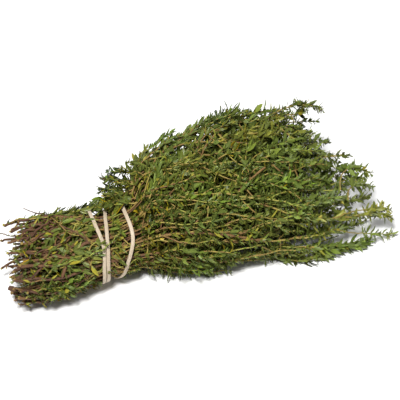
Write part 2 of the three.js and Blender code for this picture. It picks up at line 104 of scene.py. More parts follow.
rings = [
    {"count": 17, "rho": 1.0, "twist": 22, "start": 0.0, "flare": 0.16, "twigs": 2},
    {"count": 13, "rho": 0.75, "twist": -20, "start": 0.3, "flare": 0.1, "twigs": 1},
    {"count": 9, "rho": 0.5, "twist": 26, "start": 0.1, "flare": 0.1, "twigs": 0},
    {"count": 4, "rho": 0.23, "twist": -20, "start": 0.4, "flare": 0.1, "twigs": 0},
]


def between(a, b, t):
    return a + (b - a) * t


def limit(t):
    return min(1.0, max(0.0, t))


def ease(t):
    return limit(t) ** 2 * (3 - 2 * limit(t))


# a repeatable stream of numbers between 0 and 1
def drawFrom(seed):
    factor, modulus = 48271, 2**31 - 1

    def draw():
        nonlocal seed
        seed = seed * factor % modulus
        return seed / modulus

    return draw


# a table's column at x, on a smooth curve through its rows
def smoothValue(table, x, key):
    last = len(table) - 1
    if x <= table[0]["x"]:
        return table[0][key]
    if x >= table[last]["x"]:
        return table[last][key]
    i = max(k for k in range(last) if table[k]["x"] <= x)
    a, b = table[i], table[i + 1]
    before, after = table[max(0, i - 1)], table[min(last, i + 2)]
    step = b["x"] - a["x"]
    t = (x - a["x"]) / step
    slopeA = (b[key] - before[key]) / (b["x"] - before["x"]) * step
    slopeB = (after[key] - a[key]) / (after["x"] - a["x"]) * step
    return (
        (2 * t**3 - 3 * t**2 + 1) * a[key]
        + (t**3 - 2 * t**2 + t) * slopeA
        + (3 * t**2 - 2 * t**3) * b[key]
        + (t**3 - t**2) * slopeB
    )


def sectionAt(x):
    return {key: smoothValue(stations, x, key) for key in stationColumns[1:]}


def bundlePoint(x, rho, angle):
    s = sectionAt(x)
    c, u = math.cos(angle), math.sin(angle)
    across = rho * c * (1 + s["full"] * u * u)
    upward = rho * u * (1 + s["full"] * c * c)
    return Vector((
        x,
        s["y"] + across * (s["far"] if across > 0 else s["near"]),
        s["z"] + upward * (s["up"] if upward > 0 else s["down"]),
    ))


# one sprig's drawn values, in the order that the solids draw them
def planSprig(draw, ring, number):
    spacing = 2 * math.pi / ring["count"]
    angle = (number + ring["start"] + drawn["turn"] * (draw() - 0.5)) * spacing
    across, upward = ring["rho"] * math.cos(angle), ring["rho"] * math.sin(angle)
    tip, cut = bundle["tip"], bundle["cutEnd"]
    short = (tip["far"] if across > 0 else tip["near"]) * across**2 + tip["top"] * max(0, upward) ** 2
    plan = {"ring": ring, "angle": angle, "spacing": spacing, "twigs": []}
    plan["root"] = cut["first"] + cut["slant"] * across - cut["spread"] * draw()
    plan["tip"] = tip["longest"] - short - tip["spread"] * draw()
    plan["girth"] = between(*drawn["girth"], draw())
    plan["phase"] = 2 * math.pi * draw()
    for name, share in (("bend", ring["flare"]), ("splay", 1.0)):
        habit = drawn[name]
        turn = (draw() - 0.5) * habit["turn"]
        plan[name] = {"turn": turn, "rise": (draw() - habit["inward"]) * habit["rise"] * share}
    plan["feet"] = bundle["feet"].get(number, []) if ring["rho"] == 1 else []
    first, second = drawn["twigs"]
    reach = plan["tip"] - drawn["shootEnd"]
    starts = [between(*first["start"], draw()), between(*second["start"], draw()) * reach]
    for start, twig in list(zip(starts, drawn["twigs"]))[:ring["twigs"]]:
        length = between(*drawn["twigLength"], draw())
        turn = twig["side"] * spacing * between(*drawn["twigTurn"], draw())
        outward = twig["out"] * ring["flare"] * between(*drawn["twigRise"], draw())
        plan["twigs"].append({"start": start, "length": length, "turn": turn, "outward": outward})
    return plan


# how a sprig strays from a straight run: its ring's twist, a slow wave, a bent tip, a splayed cut end
def straying(plan, x):
    bend, splay, wave = plan["bend"], plan["splay"], plan.get("wave", drawn["wave"])
    along = x / drawn["twist"]["ahead" if x > 0 else "behind"]
    tipShare = ease((x - plan["tip"]) / drawn["bend"]["reach"] + 1)
    cutShare = ease(-x / drawn["splay"]["reach"])
    swing = plan["phase"] + x / wave["length"]
    aside = wave["turn"] * math.sin(swing) + bend["turn"] * tipShare + splay["turn"] * cutShare
    rise = wave["rise"] * math.cos(swing) + bend["rise"] * tipShare + splay["rise"] * cutShare
    return math.radians(plan["ring"]["twist"]) * along + plan["spacing"] * aside, rise


def stemHalf(plan, x):
    half, middle = bundle["stemHalf"], plan["tip"] / 2
    if x < 0:
        return plan["girth"] * between(half["waist"], half["cut"], x / plan["root"])
    if x < middle:
        return plan["girth"] * between(half["waist"], half["middle"], x / middle)
    return plan["girth"] * between(half["middle"], half["tip"], (x - middle) / middle)


def freeStemPoint(plan, x):
    turn, rise = straying(plan, x)
    return bundlePoint(x, plan["ring"]["rho"] + rise, plan["angle"] + turn)


# a stem lies on its feet, and the corners of its square section stay off the surface everywhere
def stemPoint(plan, x):
    point = freeStemPoint(plan, x)
    for foot in plan["feet"]:
        above = freeStemPoint(plan, foot).z - stemHalf(plan, foot)
        beyond = max(0, abs(x - foot) - bundle["foot"]["length"] / 2)
        point.z -= above * ease(1 - beyond / bundle["foot"]["reach"])
    point.z = max(point.z, math.sqrt(2) * stemHalf(plan, x) + bundle["floorGap"])
    return point


# a twig leaves its stem and comes to lie beside it, a little further out
def twigPoint(plan, twig, distance):
    x = twig["start"] + distance * twig.get("along", 1)
    share = limit(distance / twig["length"])
    away = 1 - (1 - share) ** twig.get("hurry", drawn["twigHurry"])
    turn, rise = straying(plan, x)
    rho = plan["ring"]["rho"] + rise + twig["outward"] * away
    point = bundlePoint(x, rho, plan["angle"] + turn + twig["turn"] * away)
    point += Vector(twig.get("hook", (0, 0, 0))) * share ** drawn["hookDelay"]
    point.z = max(point.z, bundle["twigHalf"] + bundle["floorGap"])
    return point


# Where the band's three passes lie along the bundle, by the angle round it in degrees.
band = {
    "width": 2.2,
    "thickness": 1.0,
    "radius": 20.6,
    "lift": 1.5,
    "corner": 0.32,
    "stepsPerTurn": 72,
    "angles": [95, 135, 180, 265, 360, 405],
    "passes": [
        [-12.0, -11.6, -14.0, -11.5, -6.0, -1.0],
        [-5.2, -8.9, -11.3, -8.6, 0.0, 8.0],
        [7.6, 6.8, 0.6, -4.0, 5.5, -9.0],
    ],
    "lifted": {"from": 320, "full": 350, "until": 405, "to": 450},
}
bandRound = 360 * len(band["passes"])
bandPoints = [
    {"x": angle + 360 * k, "along": along}
    for k, row in enumerate(band["passes"])
    for angle, along in zip(band["angles"], row)
]
bandPath = [
    {"x": bandPoints[-1]["x"] - bandRound, "along": bandPoints[-1]["along"]},
    *bandPoints,
    *({"x": p["x"] + bandRound, "along": p["along"]} for p in bandPoints[:2]),
]


def aroundBundle(x, angle, lift):
    s = sectionAt(x)
    across, upward = math.cos(math.radians(angle)), math.sin(math.radians(angle))
    extra = band["radius"] - bundle["waistRadius"] + lift
    return Vector((
        x,
        s["y"] + across * ((s["far"] if across > 0 else s["near"]) + extra),
        s["z"] + upward * ((s["up"] if upward > 0 else s["down"]) + extra),
    ))


# the band's middle line at an angle counted on through its passes, and the way its width lies
def bandAt(angle):
    x = smoothValue(bandPath, angle, "along")
    inLastPass = angle - 360 * (len(band["passes"]) - 1)
    lifted = band["lifted"]
    rising = ease((inLastPass - lifted["from"]) / (lifted["full"] - lifted["from"]))
    falling = ease((lifted["to"] - inLastPass) / (lifted["to"] - lifted["until"]))
    lift = band["lift"] * rising * falling
    flare = aroundBundle(x + 1, angle, lift) - aroundBundle(x - 1, angle, lift)
    return aroundBundle(x, angle, lift), flare.normalized()


# how far ahead of x, towards the tips, each pass of the band lies at an angle in radians
def bandAhead(x, angle):
    first = band["angles"][0]
    turned = first + (math.degrees(angle) - first) % 360
    return [smoothValue(bandPath, turned + 360 * k, "along") - x for k in range(len(band["passes"]))]


# Links are by socket, or in the sockets' own order. A link's source is a socket, a node, which stands
# for its first working output, or a plain value.
def connect(node, links):
    for socket, source in links.items() if isinstance(links, dict) else enumerate(links):
        if isinstance(source, bpy.types.Node):
            source = next(output for output in source.outputs if output.enabled)
        if isinstance(source, bpy.types.NodeSocket):
            node.id_data.links.new(source, node.inputs[socket])
        else:
            node.inputs[socket].default_value = source


def addNode(tree, kind, links=(), **settings):
    node = tree.nodes.new(kind)
    for name, value in settings.items():
        setattr(node, name, value)
    connect(node, links)
    return node


def fromHex(text):
    levels = [int(text[i:i + 2], 16) / 255 for i in (1, 3, 5)]
    return [c / 12.92 if c <= 0.04045 else ((c + 0.055) / 1.055) ** 2.4 for c in levels] + [1.0]


# a material, its shader and what adds nodes to it
def newMaterial(name):
    material = bpy.data.materials.new(name)
    material.use_nodes = True
    return material, material.node_tree.nodes["Principled BSDF"], partial(addNode, material.node_tree)


# Fresh thyme leaf: a waxy but finely hairy skin, so a soft broad gloss, with a sunken pale midrib,
# faint side veins and dots of oil glands. It is paler and greyer below. Where a value has four
# numbers, the look goes from the third to the fourth as what drives it goes from the first to the second.
leafLook = {
    "greens": {  # the darkest and the lightest
        "thyme_green": ("#162403", "#7a9030"),
        "thyme_fresh": ("#1b3203", "#7da02c"),
        "thyme_deep": ("#102006", "#6a8440"),
        "thyme_olive": ("#262403", "#a09a34"),
    },
    "mottle": 2.2,  # mm
    "mottleLight": (0.3, 0.7, -0.18, 0.18),
    "mottleRoughness": (0.3, 0.7, 0.26, 0.44),
    "youngLight": (35.0 * mm, 85.0 * mm, 1.0, 2.0),  # along X, towards the tips
    "olive": ("#3a2e0a", "#9c8a30"),
    "oliveShare": 0.6,
    "patch": 24.0,  # mm across a patch of leaves that is more olive
    "patchOlive": (0.35, 0.65, -0.15, 0.25),
    "yellow": "#b89c1c",
    "yellowShare": (0.98, 1.1, 0.0, 0.9),  # of the lightest leaves
    "woodAges": 0.5,  # how much sooner leaves turn yellow on woody stems
    "brown": "#7d5220",
    "brownShare": (0.56, 0.66, 0.0, 0.8),
    "rib": "#87963a",
    "ribShare": (0.06, 0.24, 0.35, 0.0),  # across a leaf
    "under": "#75843f",
    "underShare": 0.45,
    "veins": 9.0,  # along a leaf
    "veinSlant": -0.35,
    "glands": 0.35,  # mm; drawn coarser than the real 0.1 so that they show
    "glandDepth": 0.6,  # of a vein's
    "relief": {"Strength": 0.25, "Distance": 0.1 * mm},
    "finish": {"IOR": 1.38},
}


def thymeLeafMaterial(slotName):
    look = leafLook
    material, shader, add = newMaterial("freshThymeLeaf_" + slotName)
    clampedSum, ofColours = {"operation": "MULTIPLY_ADD", "use_clamp": True}, {"data_type": "RGBA"}
    place = add("ShaderNodeTexCoord").outputs["Object"]
    across, along, under, tone, wood = (
        add("ShaderNodeAttribute", attribute_name=name).outputs["Fac"]
        for name in ("leafAcross", "leafAlong", "leafUnder", "leafTone", "wood"))
    mottle = add("ShaderNodeTexNoise", {"Vector": place, "Scale": 1 / (look["mottle"] * mm), "Detail": 3.0})
    mottled = add("ShaderNodeMapRange", (mottle, *look["mottleLight"]))
    # towards the growing tips the leaves are younger and brighter
    youth = add("ShaderNodeMapRange", (add("ShaderNodeSeparateXYZ", [place]), *look["youngLight"]))
    light = add("ShaderNodeMath", (tone, youth, mottled), **clampedSum)
    deep, pale = map(fromHex, look["greens"][slotName])
    green = add("ShaderNodeMix", {0: light, 6: deep, 7: pale}, **ofColours)
    # leaves low on the stem are olive, and some have turned yellow with brown patches
    patch = add("ShaderNodeTexNoise", {"Vector": place, "Scale": 1 / (look["patch"] * mm), "Detail": 1.0})
    patched = add("ShaderNodeMapRange", (patch, *look["patchOlive"]))
    dull = add("ShaderNodeMath", (wood, look["oliveShare"], patched), **clampedSum)
    deepOlive, paleOlive = map(fromHex, look["olive"])
    dullGreen = add("ShaderNodeMix", {0: light, 6: deepOlive, 7: paleOlive}, **ofColours)
    olive = add("ShaderNodeMix", {0: dull, 6: green, 7: dullGreen}, **ofColours)
    brown = add("ShaderNodeMapRange", (mottle, *look["brownShare"]))
    old = add("ShaderNodeMix", {0: brown, 6: fromHex(look["yellow"]), 7: fromHex(look["brown"])}, **ofColours)
    ageing = add("ShaderNodeMath", (wood, look["woodAges"], tone), operation="MULTIPLY_ADD")
    aged = add("ShaderNodeMapRange", (ageing, *look["yellowShare"]))
    top = add("ShaderNodeMix", {0: aged, 6: olive, 7: old}, **ofColours)
    rib = add("ShaderNodeMapRange", (across, *look["ribShare"]))
    ribbed = add("ShaderNodeMix", {0: rib, 6: top, 7: fromHex(look["rib"])}, **ofColours)
    below = add("ShaderNodeMath", (under, look["underShare"]), operation="MULTIPLY")
    colour = add("ShaderNodeMix", {0: below, 6: ribbed, 7: fromHex(look["under"])}, **ofColours)
    slant = add("ShaderNodeMath", (across, look["veinSlant"], along), operation="MULTIPLY_ADD")
    ripple = add("ShaderNodeMath", (slant, 2 * math.pi * look["veins"]), operation="MULTIPLY")
    veins = add("ShaderNodeMath", [ripple], operation="SINE")
    glands = add("ShaderNodeTexVoronoi", {"Vector": place, "Scale": 1 / (look["glands"] * mm)})
    height = add("ShaderNodeMath", (glands, look["glandDepth"], veins), operation="MULTIPLY_ADD")
    bump = add("ShaderNodeBump", {"Height": height, **look["relief"]})
    gloss = add("ShaderNodeMapRange", (mottle, *look["mottleRoughness"]))
    connect(shader, {"Base Color": colour, "Normal": bump, "Roughness": gloss, **look["finish"]})
    return material


# Thyme stem: four-sided green shoots that turn to thin fibrous bark, so matt with fine dark
# streaks along it, purple-brown where it is oldest.
stemLook = {
    "streakWidth": 0.35,  # mm
    "streakLength": 7.0,  # mm
    "streakShare": (0.42, 0.7, 0.0, 0.7),
    "dark": "#33241b",
    "colours": [(0.0, "#87923a"), (0.3, "#9c8a44"), (0.55, "#836638"), (0.8, "#6b4a2f"), (1.0, "#583a26")],
    "blotch": 6.0,  # mm
    "blotchAge": (0.3, 0.7, -0.16, 0.16),
    "relief": {"Strength": 0.5, "Distance": 0.2 * mm},
    "finish": {"Roughness": 0.7, "IOR": 1.4},
}


def thymeStemMaterial():
    look = stemLook
    material, shader, add = newMaterial("thymeStemBark")
    wood = add("ShaderNodeAttribute", attribute_name="wood").outputs["Fac"]
    grain = add("ShaderNodeAttribute", attribute_name="grain").outputs["Vector"]
    place = add("ShaderNodeTexCoord").outputs["Object"]
    streak = add("ShaderNodeTexNoise", {"Vector": grain, "Scale": 1.0, "Detail": 4.0, "Roughness": 0.6})
    blotch = add("ShaderNodeTexNoise", {"Vector": place, "Scale": 1 / (look["blotch"] * mm), "Detail": 2.0})
    shift = add("ShaderNodeMapRange", (blotch, *look["blotchAge"]))
    age = add("ShaderNodeMath", (wood, shift), operation="ADD", use_clamp=True)
    ramp = add("ShaderNodeValToRGB", [age])
    elements = ramp.color_ramp.elements
    while len(elements) < len(look["colours"]):
        elements.new(0.5)
    for element, (position, text) in zip(elements, look["colours"]):
        element.position = position
        element.color = fromHex(text)
    darkness = add("ShaderNodeMapRange", (streak, *look["streakShare"]))
    share = add("ShaderNodeMath", (darkness, age), operation="MULTIPLY")
    colour = add("ShaderNodeMix", {0: share, 6: ramp, 7: fromHex(look["dark"])}, data_type="RGBA")
    bump = add("ShaderNodeBump", {"Height": streak, **look["relief"]})
    connect(shader, {"Base Color": colour, "Normal": bump, **look["finish"]})
    return material


# Natural rubber, extruded flat and cut, undyed: cream, smooth and matt, dusted with talc, with
# faint lines along its length.
rubberLook = {
    "cream": "#b9a991",
    "warm": "#a59077",
    "cloud": 7.0,  # mm
    "warmShare": (0.35, 0.7, 0.0, 0.6),
    "dust": "#c8beab",
    "speck": 0.5,  # mm
    "dustShare": (0.5, 0.7, 0.0, 0.55),
    "lineWidth": 0.3,  # mm
    "lineLength": 12.0,  # mm
    "speckDepth": 0.5,  # of a line's
    "relief": {"Strength": 0.3, "Distance": 0.1 * mm},
    "finish": {"Roughness": 0.58, "IOR": 1.52},
}


def rubberMaterial():
    look = rubberLook
    material, shader, add = newMaterial("talcedNaturalRubber")
    place = add("ShaderNodeTexCoord").outputs["Object"]
    grain = add("ShaderNodeAttribute", attribute_name="grain").outputs["Vector"]
    cloud = add("ShaderNodeTexNoise", {"Vector": place, "Scale": 1 / (look["cloud"] * mm), "Detail": 3.0})
    tint = add("ShaderNodeMapRange", (cloud, *look["warmShare"]))
    cream, warm = fromHex(look["cream"]), fromHex(look["warm"])
    body = add("ShaderNodeMix", {0: tint, 6: cream, 7: warm}, data_type="RGBA")
    speck = add("ShaderNodeTexNoise", {"Vector": place, "Scale": 1 / (look["speck"] * mm), "Detail": 4.0})
    dusty = add("ShaderNodeMapRange", (speck, *look["dustShare"]))
    colour = add("ShaderNodeMix", {0: dusty, 6: body, 7: fromHex(look["dust"])}, data_type="RGBA")
    lines = add("ShaderNodeTexNoise", {"Vector": grain, "Scale": 1.0, "Detail": 2.0})
    height = add("ShaderNodeMath", (speck, look["speckDepth"], lines), operation="MULTIPLY_ADD")
    bump = add("ShaderNodeBump", {"Height": height, **look["relief"]})
    connect(shader, {"Base Color": colour, "Normal": bump, **look["finish"]})
    return material


leaf = {
    "length": 7.4,  # mm
    "thickness": 0.26,  # mm
    "sizes": (0.66, 1.18),
    "widths": (0.8, 1.15),
    "leastSize": 0.05,  # below it a whorl stays bare
    # half width, fold of the halves, bend of the whole, all as shares of the length
    "grown": [
        (0.140, 0.06, 0.10), (0.155, -0.05, 0.16), (0.125, 0.07, -0.06),
        (0.205, -0.05, 0.05), (0.150, 0.05, 0.24), (0.135, -0.06, -0.10),
    ],
    "grownStops": [(0.22, 0.72), (0.5, 1.0), (0.8, 0.62)],  # place along a leaf, share of its width
    "young": [(0.150, 0.06, 0.08), (0.180, -0.05, 0.18), (0.140, 0.05, -0.08)],
    "youngStops": [(0.3, 0.9), (0.7, 0.85)],
    "inner": [(0.200, 0.05, 0.12), (0.230, -0.05, 0.05), (0.190, 0.06, -0.08)],
    "innerStops": [(0.45, 1.0)],
}


# A closed leaf from the origin along +Z, with its upper face to -X. A ring holds the left edge, the
# rib above, the right edge and the rib below.
def leafMesh(name, stops, half, fold, bend):
    length, thin = leaf["length"] * mm, leaf["thickness"] * mm / 2
    points, across, along = [Vector((0, 0, 0))], [0.0], [0.0]
    for t, width in stops:
        x = bend * length * t * t
        edge = fold * length * width
        for y, lift in ((-1, edge), (0, thin), (1, edge), (0, -thin)):
            points.append(Vector((x - lift, y * half * length * width, length * t)))
            across.append(abs(y))
            along.append(t)
    points.append(Vector((bend * length, 0, length)))
    across.append(0.0)
    along.append(1.0)
    faces, under = [], []
    first, last = 1, 1 + 4 * (len(stops) - 1)
    for k in range(4):
        n = (k + 1) % 4
        faces.append((0, first + n, first + k))
        for ring in range(first, last, 4):
            faces.append((ring + k, ring + n, ring + 4 + n, ring + 4 + k))
        faces.append((last + k, last + n, len(points) - 1))
        under += [0.0 if k in (0, 1) else 1.0] * (len(stops) + 1)
    mesh = bpy.data.meshes.new(name)
    mesh.from_pydata(points, [], faces)
    mesh.shade_smooth()
    for attribute, values, domain in (("leafAcross", across, "POINT"), ("leafAlong", along, "POINT"),
                                      ("leafUnder", under, "FACE")):
        mesh.attributes.new(attribute, "FLOAT", domain).data.foreach_set("value", values)
    rim = {0, len(points) - 1} | {i for i in range(1, len(points) - 1) if (i - 1) % 4 in (0, 2)}
    margins = mesh.attributes.new("sharp_edge", "BOOLEAN", "EDGE")
    margins.data.foreach_set("value", [set(edge.vertices) <= rim for edge in mesh.edges])
    return mesh


# the tree picks leaves by number in the order of their names, so the grown ones come first
def leafCollection(name, ages):
    shapes = bpy.data.collections.new(name)
    bpy.context.scene.collection.children.link(shapes)
    for age in ages:
        for number, shape in enumerate(leaf[age]):
            made = f"{name}_{age}{number}"
            shapes.objects.link(bpy.data.objects.new(made, leafMesh(made, leaf[age + "Stops"], *shape)))
    return shapes


outerLeaves = leafCollection("outerLeaves", ("grown", "young"))
innerLeaves = leafCollection("innerLeaves", ("inner",))


# a tree from lines to a piece; each input has its number, or its kind where it has none
def newTree(name, inputs):
    tree = bpy.data.node_groups.new(name, "GeometryNodeTree")
    tree.interface.new_socket("Lines", in_out="INPUT", socket_type="NodeSocketGeometry")
    tree.interface.new_socket("Piece", in_out="OUTPUT", socket_type="NodeSocketGeometry")
    for label, value in inputs.items():
        kind = value if isinstance(value, str) else {int: "Int", float: "Float"}[type(value)]
        socket = tree.interface.new_socket(label, in_out="INPUT", socket_type="NodeSocket" + kind)
        if kind != value:
            socket.default_value = value
    return tree


# what the sprigs' tree is given where a sprig has nothing of its own, in metres and radians
sprigInputs = {
    "Stem sides": 5,
    "Stem smoothness": 2,
    "Streak width": stemLook["streakWidth"] * mm,
    "Streak length": stemLook["streakLength"] * mm,
    "Leaf shapes": "Collection",
    "Lightest leaf": 1.0,
    "Tone bias": 2.7,
    "Leaves at a node": 8,
    "Grown leaves": 1.0,
    "Leaf tilt": 1.0,
    "Axil tilt": 0.7,
    "Tilt spread": 0.55,
    "Turn spread": 1.1,
    "Axil turn": 0.7,
    "Axil leaf size": 0.62,
    "Lowest leaf": 0.2 * mm,
    "Pressing": 1.3 * mm,
    "Leaf material": "Material",
    "Stem material": "Material",
    "Seed": 1,
}


# Lines with the attributes thickness, wood, leafSize and lean become stems with leaves at every
# point: an opposite pair, a quarter turn on from the last, with smaller leaves in their axils.
def leafySprigTree():
    tree = newTree("leafySprig", sprigInputs)
    add = partial(addNode, tree)
    onPoints = {"data_type": "FLOAT", "domain": "POINT"}
    given = add("NodeGroupInput").outputs
    lines = add("GeometryNodeMeshToCurve", {"Mesh": given["Lines"]})
    # every leaf is a copy of its whorl's point, numbered round the stem
    nodes = add("GeometryNodeCurveToPoints", {"Curve": lines}, mode="EVALUATED")
    whorls = add("GeometryNodeStoreNamedAttribute",
                 {"Geometry": nodes, "Name": "whorl", "Value": add("GeometryNodeInputIndex")}, **onPoints)
    turned = add("GeometryNodeStoreNamedAttribute",
                 {"Geometry": whorls, "Name": "stemTurn", "Value": nodes.outputs["Rotation"]},
                 data_type="QUATERNION", domain="POINT")
    copies = add("GeometryNodeDuplicateElements", {"Geometry": turned, "Amount": given["Leaves at a node"]},
                 domain="POINT")

    # numbers by name: the tree's inputs, the lines' attributes, drawn ones and what follows from them
    values = {socket.name: socket for socket in given if socket.type == "VALUE"}
    values["place"] = copies.outputs["Duplicate Index"]
    for name in ("thickness", "stemRound", "stemAlong", "leafSize", "lean", "whorl"):
        values[name] = add("GeometryNodeInputNamedAttribute", {"Name": name}, data_type="FLOAT")
    grownCount, youngCount = len(leaf["grown"]), len(leaf["young"])
    seedStep, hair = 101, 0.001  # a hair less keeps a pick below the next whole number
    for number, (name, low, high) in enumerate((
        ("anyTurn", -1.0, 1.0), ("anyTilt", -1.0, 1.0), ("anySwing", -1.0, 1.0),
        ("anySize", *leaf["sizes"]), ("anyWidth", *leaf["widths"]), ("anyTone", 0.0, 1.0),
        ("anyGrown", 0.0, grownCount - hair), ("anyYoung", grownCount, grownCount + youngCount - hair),
    )):
        seed = add("ShaderNodeMath", (given["Seed"], seedStep * number), operation="ADD")
        values[name] = add("FunctionNodeRandomValue", {2: low, 3: high, 8: seed}, data_type="FLOAT")
    where = add("ShaderNodeSeparateXYZ", [add("GeometryNodeInputPosition")])
    values["height"] = where.outputs["Z"]
    for name, operation, *terms in (
        # bark: fine round the stem, long along it, counted in streaks
        ("roundTurn", "MULTIPLY", "stemRound", 2 * math.pi),
        ("roundReach", "DIVIDE", "thickness", "Streak width"),
        ("roundCos", "COSINE", "roundTurn"),
        ("roundSin", "SINE", "roundTurn"),
        ("grainX", "MULTIPLY", "roundCos", "roundReach"),
        ("grainY", "MULTIPLY", "roundSin", "roundReach"),
        ("grainZ", "DIVIDE", "stemAlong", "Streak length"),
        # the first pair at a whorl are its main leaves, the others stand in their axils
        ("pairCount", "MULTIPLY", "place", 0.5),
        ("pair", "FLOOR", "pairCount"),
        ("isMain", "LESS_THAN", "pair", 0.5),
        ("isAxil", "SUBTRACT", 1.0, "isMain"),
        ("side", "MODULO", "place", 2.0),
        ("sideTurn", "MULTIPLY", "side", math.pi),
        ("pairTurn", "MULTIPLY_ADD", "whorl", math.pi / 2, "sideTurn"),
        ("axilSide", "MULTIPLY_ADD", "pair", 2.0, -3.0),
        ("axilShare", "MULTIPLY", "axilSide", "isAxil"),
        ("restTurn", "MULTIPLY_ADD", "axilShare", "Axil turn", "pairTurn"),
        ("turn", "MULTIPLY_ADD", "anyTurn", "Turn spread", "restTurn"),
        ("tiltGap", "SUBTRACT", "Leaf tilt", "Axil tilt"),
        ("restTilt", "MULTIPLY_ADD", "tiltGap", "isMain", "Axil tilt"),
        ("drawnTilt", "MULTIPLY_ADD", "anyTilt", "Tilt spread", "restTilt"),
        ("tilt", "MULTIPLY", "drawnTilt", "lean"),
        ("swing", "MULTIPLY", "anySwing", "Tilt spread"),
        ("sizeGap", "SUBTRACT", 1.0, "Axil leaf size"),
        ("share", "MULTIPLY_ADD", "sizeGap", "isMain", "Axil leaf size"),
        ("sized", "MULTIPLY", "share", "leafSize"),
        ("size", "MULTIPLY", "sized", "anySize"),
        ("wide", "MULTIPLY", "size", "anyWidth"),
        ("grownPick", "FLOOR", "anyGrown"),
        ("youngPick", "FLOOR", "anyYoung"),
        ("isGrown", "MULTIPLY", "isMain", "Grown leaves"),
        ("lowTone", "POWER", "anyTone", "Tone bias"),
        ("tone", "MULTIPLY", "lowTone", "Lightest leaf"),
        ("pickGap", "SUBTRACT", "grownPick", "youngPick"),
        ("pick", "MULTIPLY_ADD", "pickGap", "isGrown", "youngPick"),
        # what would sink into the surface is pressed flat on it
        ("soft", "ADD", "Lowest leaf", "Pressing"),
        ("clear", "SUBTRACT", "height", "soft"),
        ("above", "MAXIMUM", "clear", 0.0),
        ("below", "MINIMUM", "clear", 0.0),
        ("sinking", "DIVIDE", "below", "Pressing"),
        ("kept", "EXPONENT", "sinking"),
        ("lying", "MULTIPLY_ADD", "kept", "Pressing", "Lowest leaf"),
        ("newHeight", "ADD", "lying", "above"),
    ):
        terms = [values[term] if isinstance(term, str) else term for term in terms]
        values[name] = add("ShaderNodeMath", terms, operation=operation)

    # stems
    flowing = add("GeometryNodeCurveSplineType", {"Curve": lines}, spline_type="CATMULL_ROM")
    finer = add("GeometryNodeSetSplineResolution",
                {"Geometry": flowing, "Resolution": given["Stem smoothness"]})
    alongStem = add("GeometryNodeSplineParameter").outputs["Length"]
    measured = add("GeometryNodeStoreNamedAttribute",
                   {"Geometry": finer, "Name": "stemAlong", "Value": alongStem}, **onPoints)
    rim = add("GeometryNodeCurvePrimitiveCircle", {"Resolution": given["Stem sides"], "Radius": 1.0})
    roundStem = add("GeometryNodeSplineParameter").outputs["Factor"]
    rimPlaced = add("GeometryNodeStoreNamedAttribute",
                    {"Geometry": rim, "Name": "stemRound", "Value": roundStem}, **onPoints)
    bare = add("GeometryNodeCurveToMesh", {
        "Curve": measured, "Profile Curve": rimPlaced, "Scale": values["thickness"], "Fill Caps": True})
    grain = add("ShaderNodeCombineXYZ", [values[name] for name in ("grainX", "grainY", "grainZ")])
    grained = add("GeometryNodeStoreNamedAttribute", {"Geometry": bare, "Name": "grain", "Value": grain},
                  data_type="FLOAT_VECTOR", domain="POINT")
    rounded = add("GeometryNodeSetShadeSmooth", {"Geometry": grained})
    stems = add("GeometryNodeSetMaterial", {"Geometry": rounded, "Material": given["Stem material"]})

    # leaves
    leafless = add("FunctionNodeCompare", {0: values["leafSize"], 1: leaf["leastSize"]},
                   data_type="FLOAT", operation="LESS_THAN")
    leafy = add("GeometryNodeDeleteGeometry", {"Geometry": copies, "Selection": leafless}, domain="POINT")
    own = add("ShaderNodeCombineXYZ", [values[name] for name in ("swing", "tilt", "turn")])
    stemTurn = add("GeometryNodeInputNamedAttribute", {"Name": "stemTurn"}, data_type="QUATERNION")
    ownTurn = add("FunctionNodeEulerToRotation", [own])
    facing = add("FunctionNodeRotateRotation", {"Rotation": stemTurn, "Rotate By": ownTurn},
                 rotation_space="LOCAL")
    scale = add("ShaderNodeCombineXYZ", [values[name] for name in ("size", "wide", "size")])
    shapes = add("GeometryNodeCollectionInfo",
                 {"Collection": given["Leaf shapes"], "Separate Children": True, "Reset Children": True})
    placed = add("GeometryNodeInstanceOnPoints", {
        "Points": leafy, "Instance": shapes, "Pick Instance": True,
        "Instance Index": values["pick"], "Rotation": facing, "Scale": scale})
    toned = add("GeometryNodeStoreNamedAttribute",
                {"Geometry": placed, "Name": "leafTone", "Value": values["tone"]},
                data_type="FLOAT", domain="INSTANCE")
    real = add("GeometryNodeRealizeInstances", {"Geometry": toned})
    leaves = add("GeometryNodeSetMaterial", {"Geometry": real, "Material": given["Leaf material"]})

    both = add("GeometryNodeJoinGeometry")
    for source in (stems, leaves):
        connect(both, [source])
    lain = add("ShaderNodeCombineXYZ", (where.outputs["X"], where.outputs["Y"], values["newHeight"]))
    onSurface = add("GeometryNodeSetPosition", {"Geometry": both, "Position": lain})
    add("NodeGroupOutput", [onSurface])
    return tree


# a line object: chains of points with a float or vector attribute for each name
def lineObject(name, chains, attributes, cyclic=False):
    origin = Vector((*bundle["waist"], 0)) * mm
    points, edges = [], []
    for chain in chains:
        start = len(points)
        points += [point["at"] * mm + origin for point in chain]
        edges += [(k, k + 1) for k in range(start, len(points) - 1)]
        if cyclic:
            edges.append((len(points) - 1, start))
    mesh = bpy.data.meshes.new(name + "_lines")
    mesh.from_pydata(points, edges, [])
    for attribute, kind in attributes.items():
        made = mesh.attributes.new(attribute, kind, "POINT")
        values = [point[attribute] for chain in chains for point in chain]
        if kind == "FLOAT_VECTOR":
            made.data.foreach_set("vector", [c for value in values for c in value])
        else:
            made.data.foreach_set("value", values)
    lineObj = bpy.data.objects.new(name + "_lines", mesh)
    bpy.context.scene.collection.objects.link(lineObj)
    return lineObj


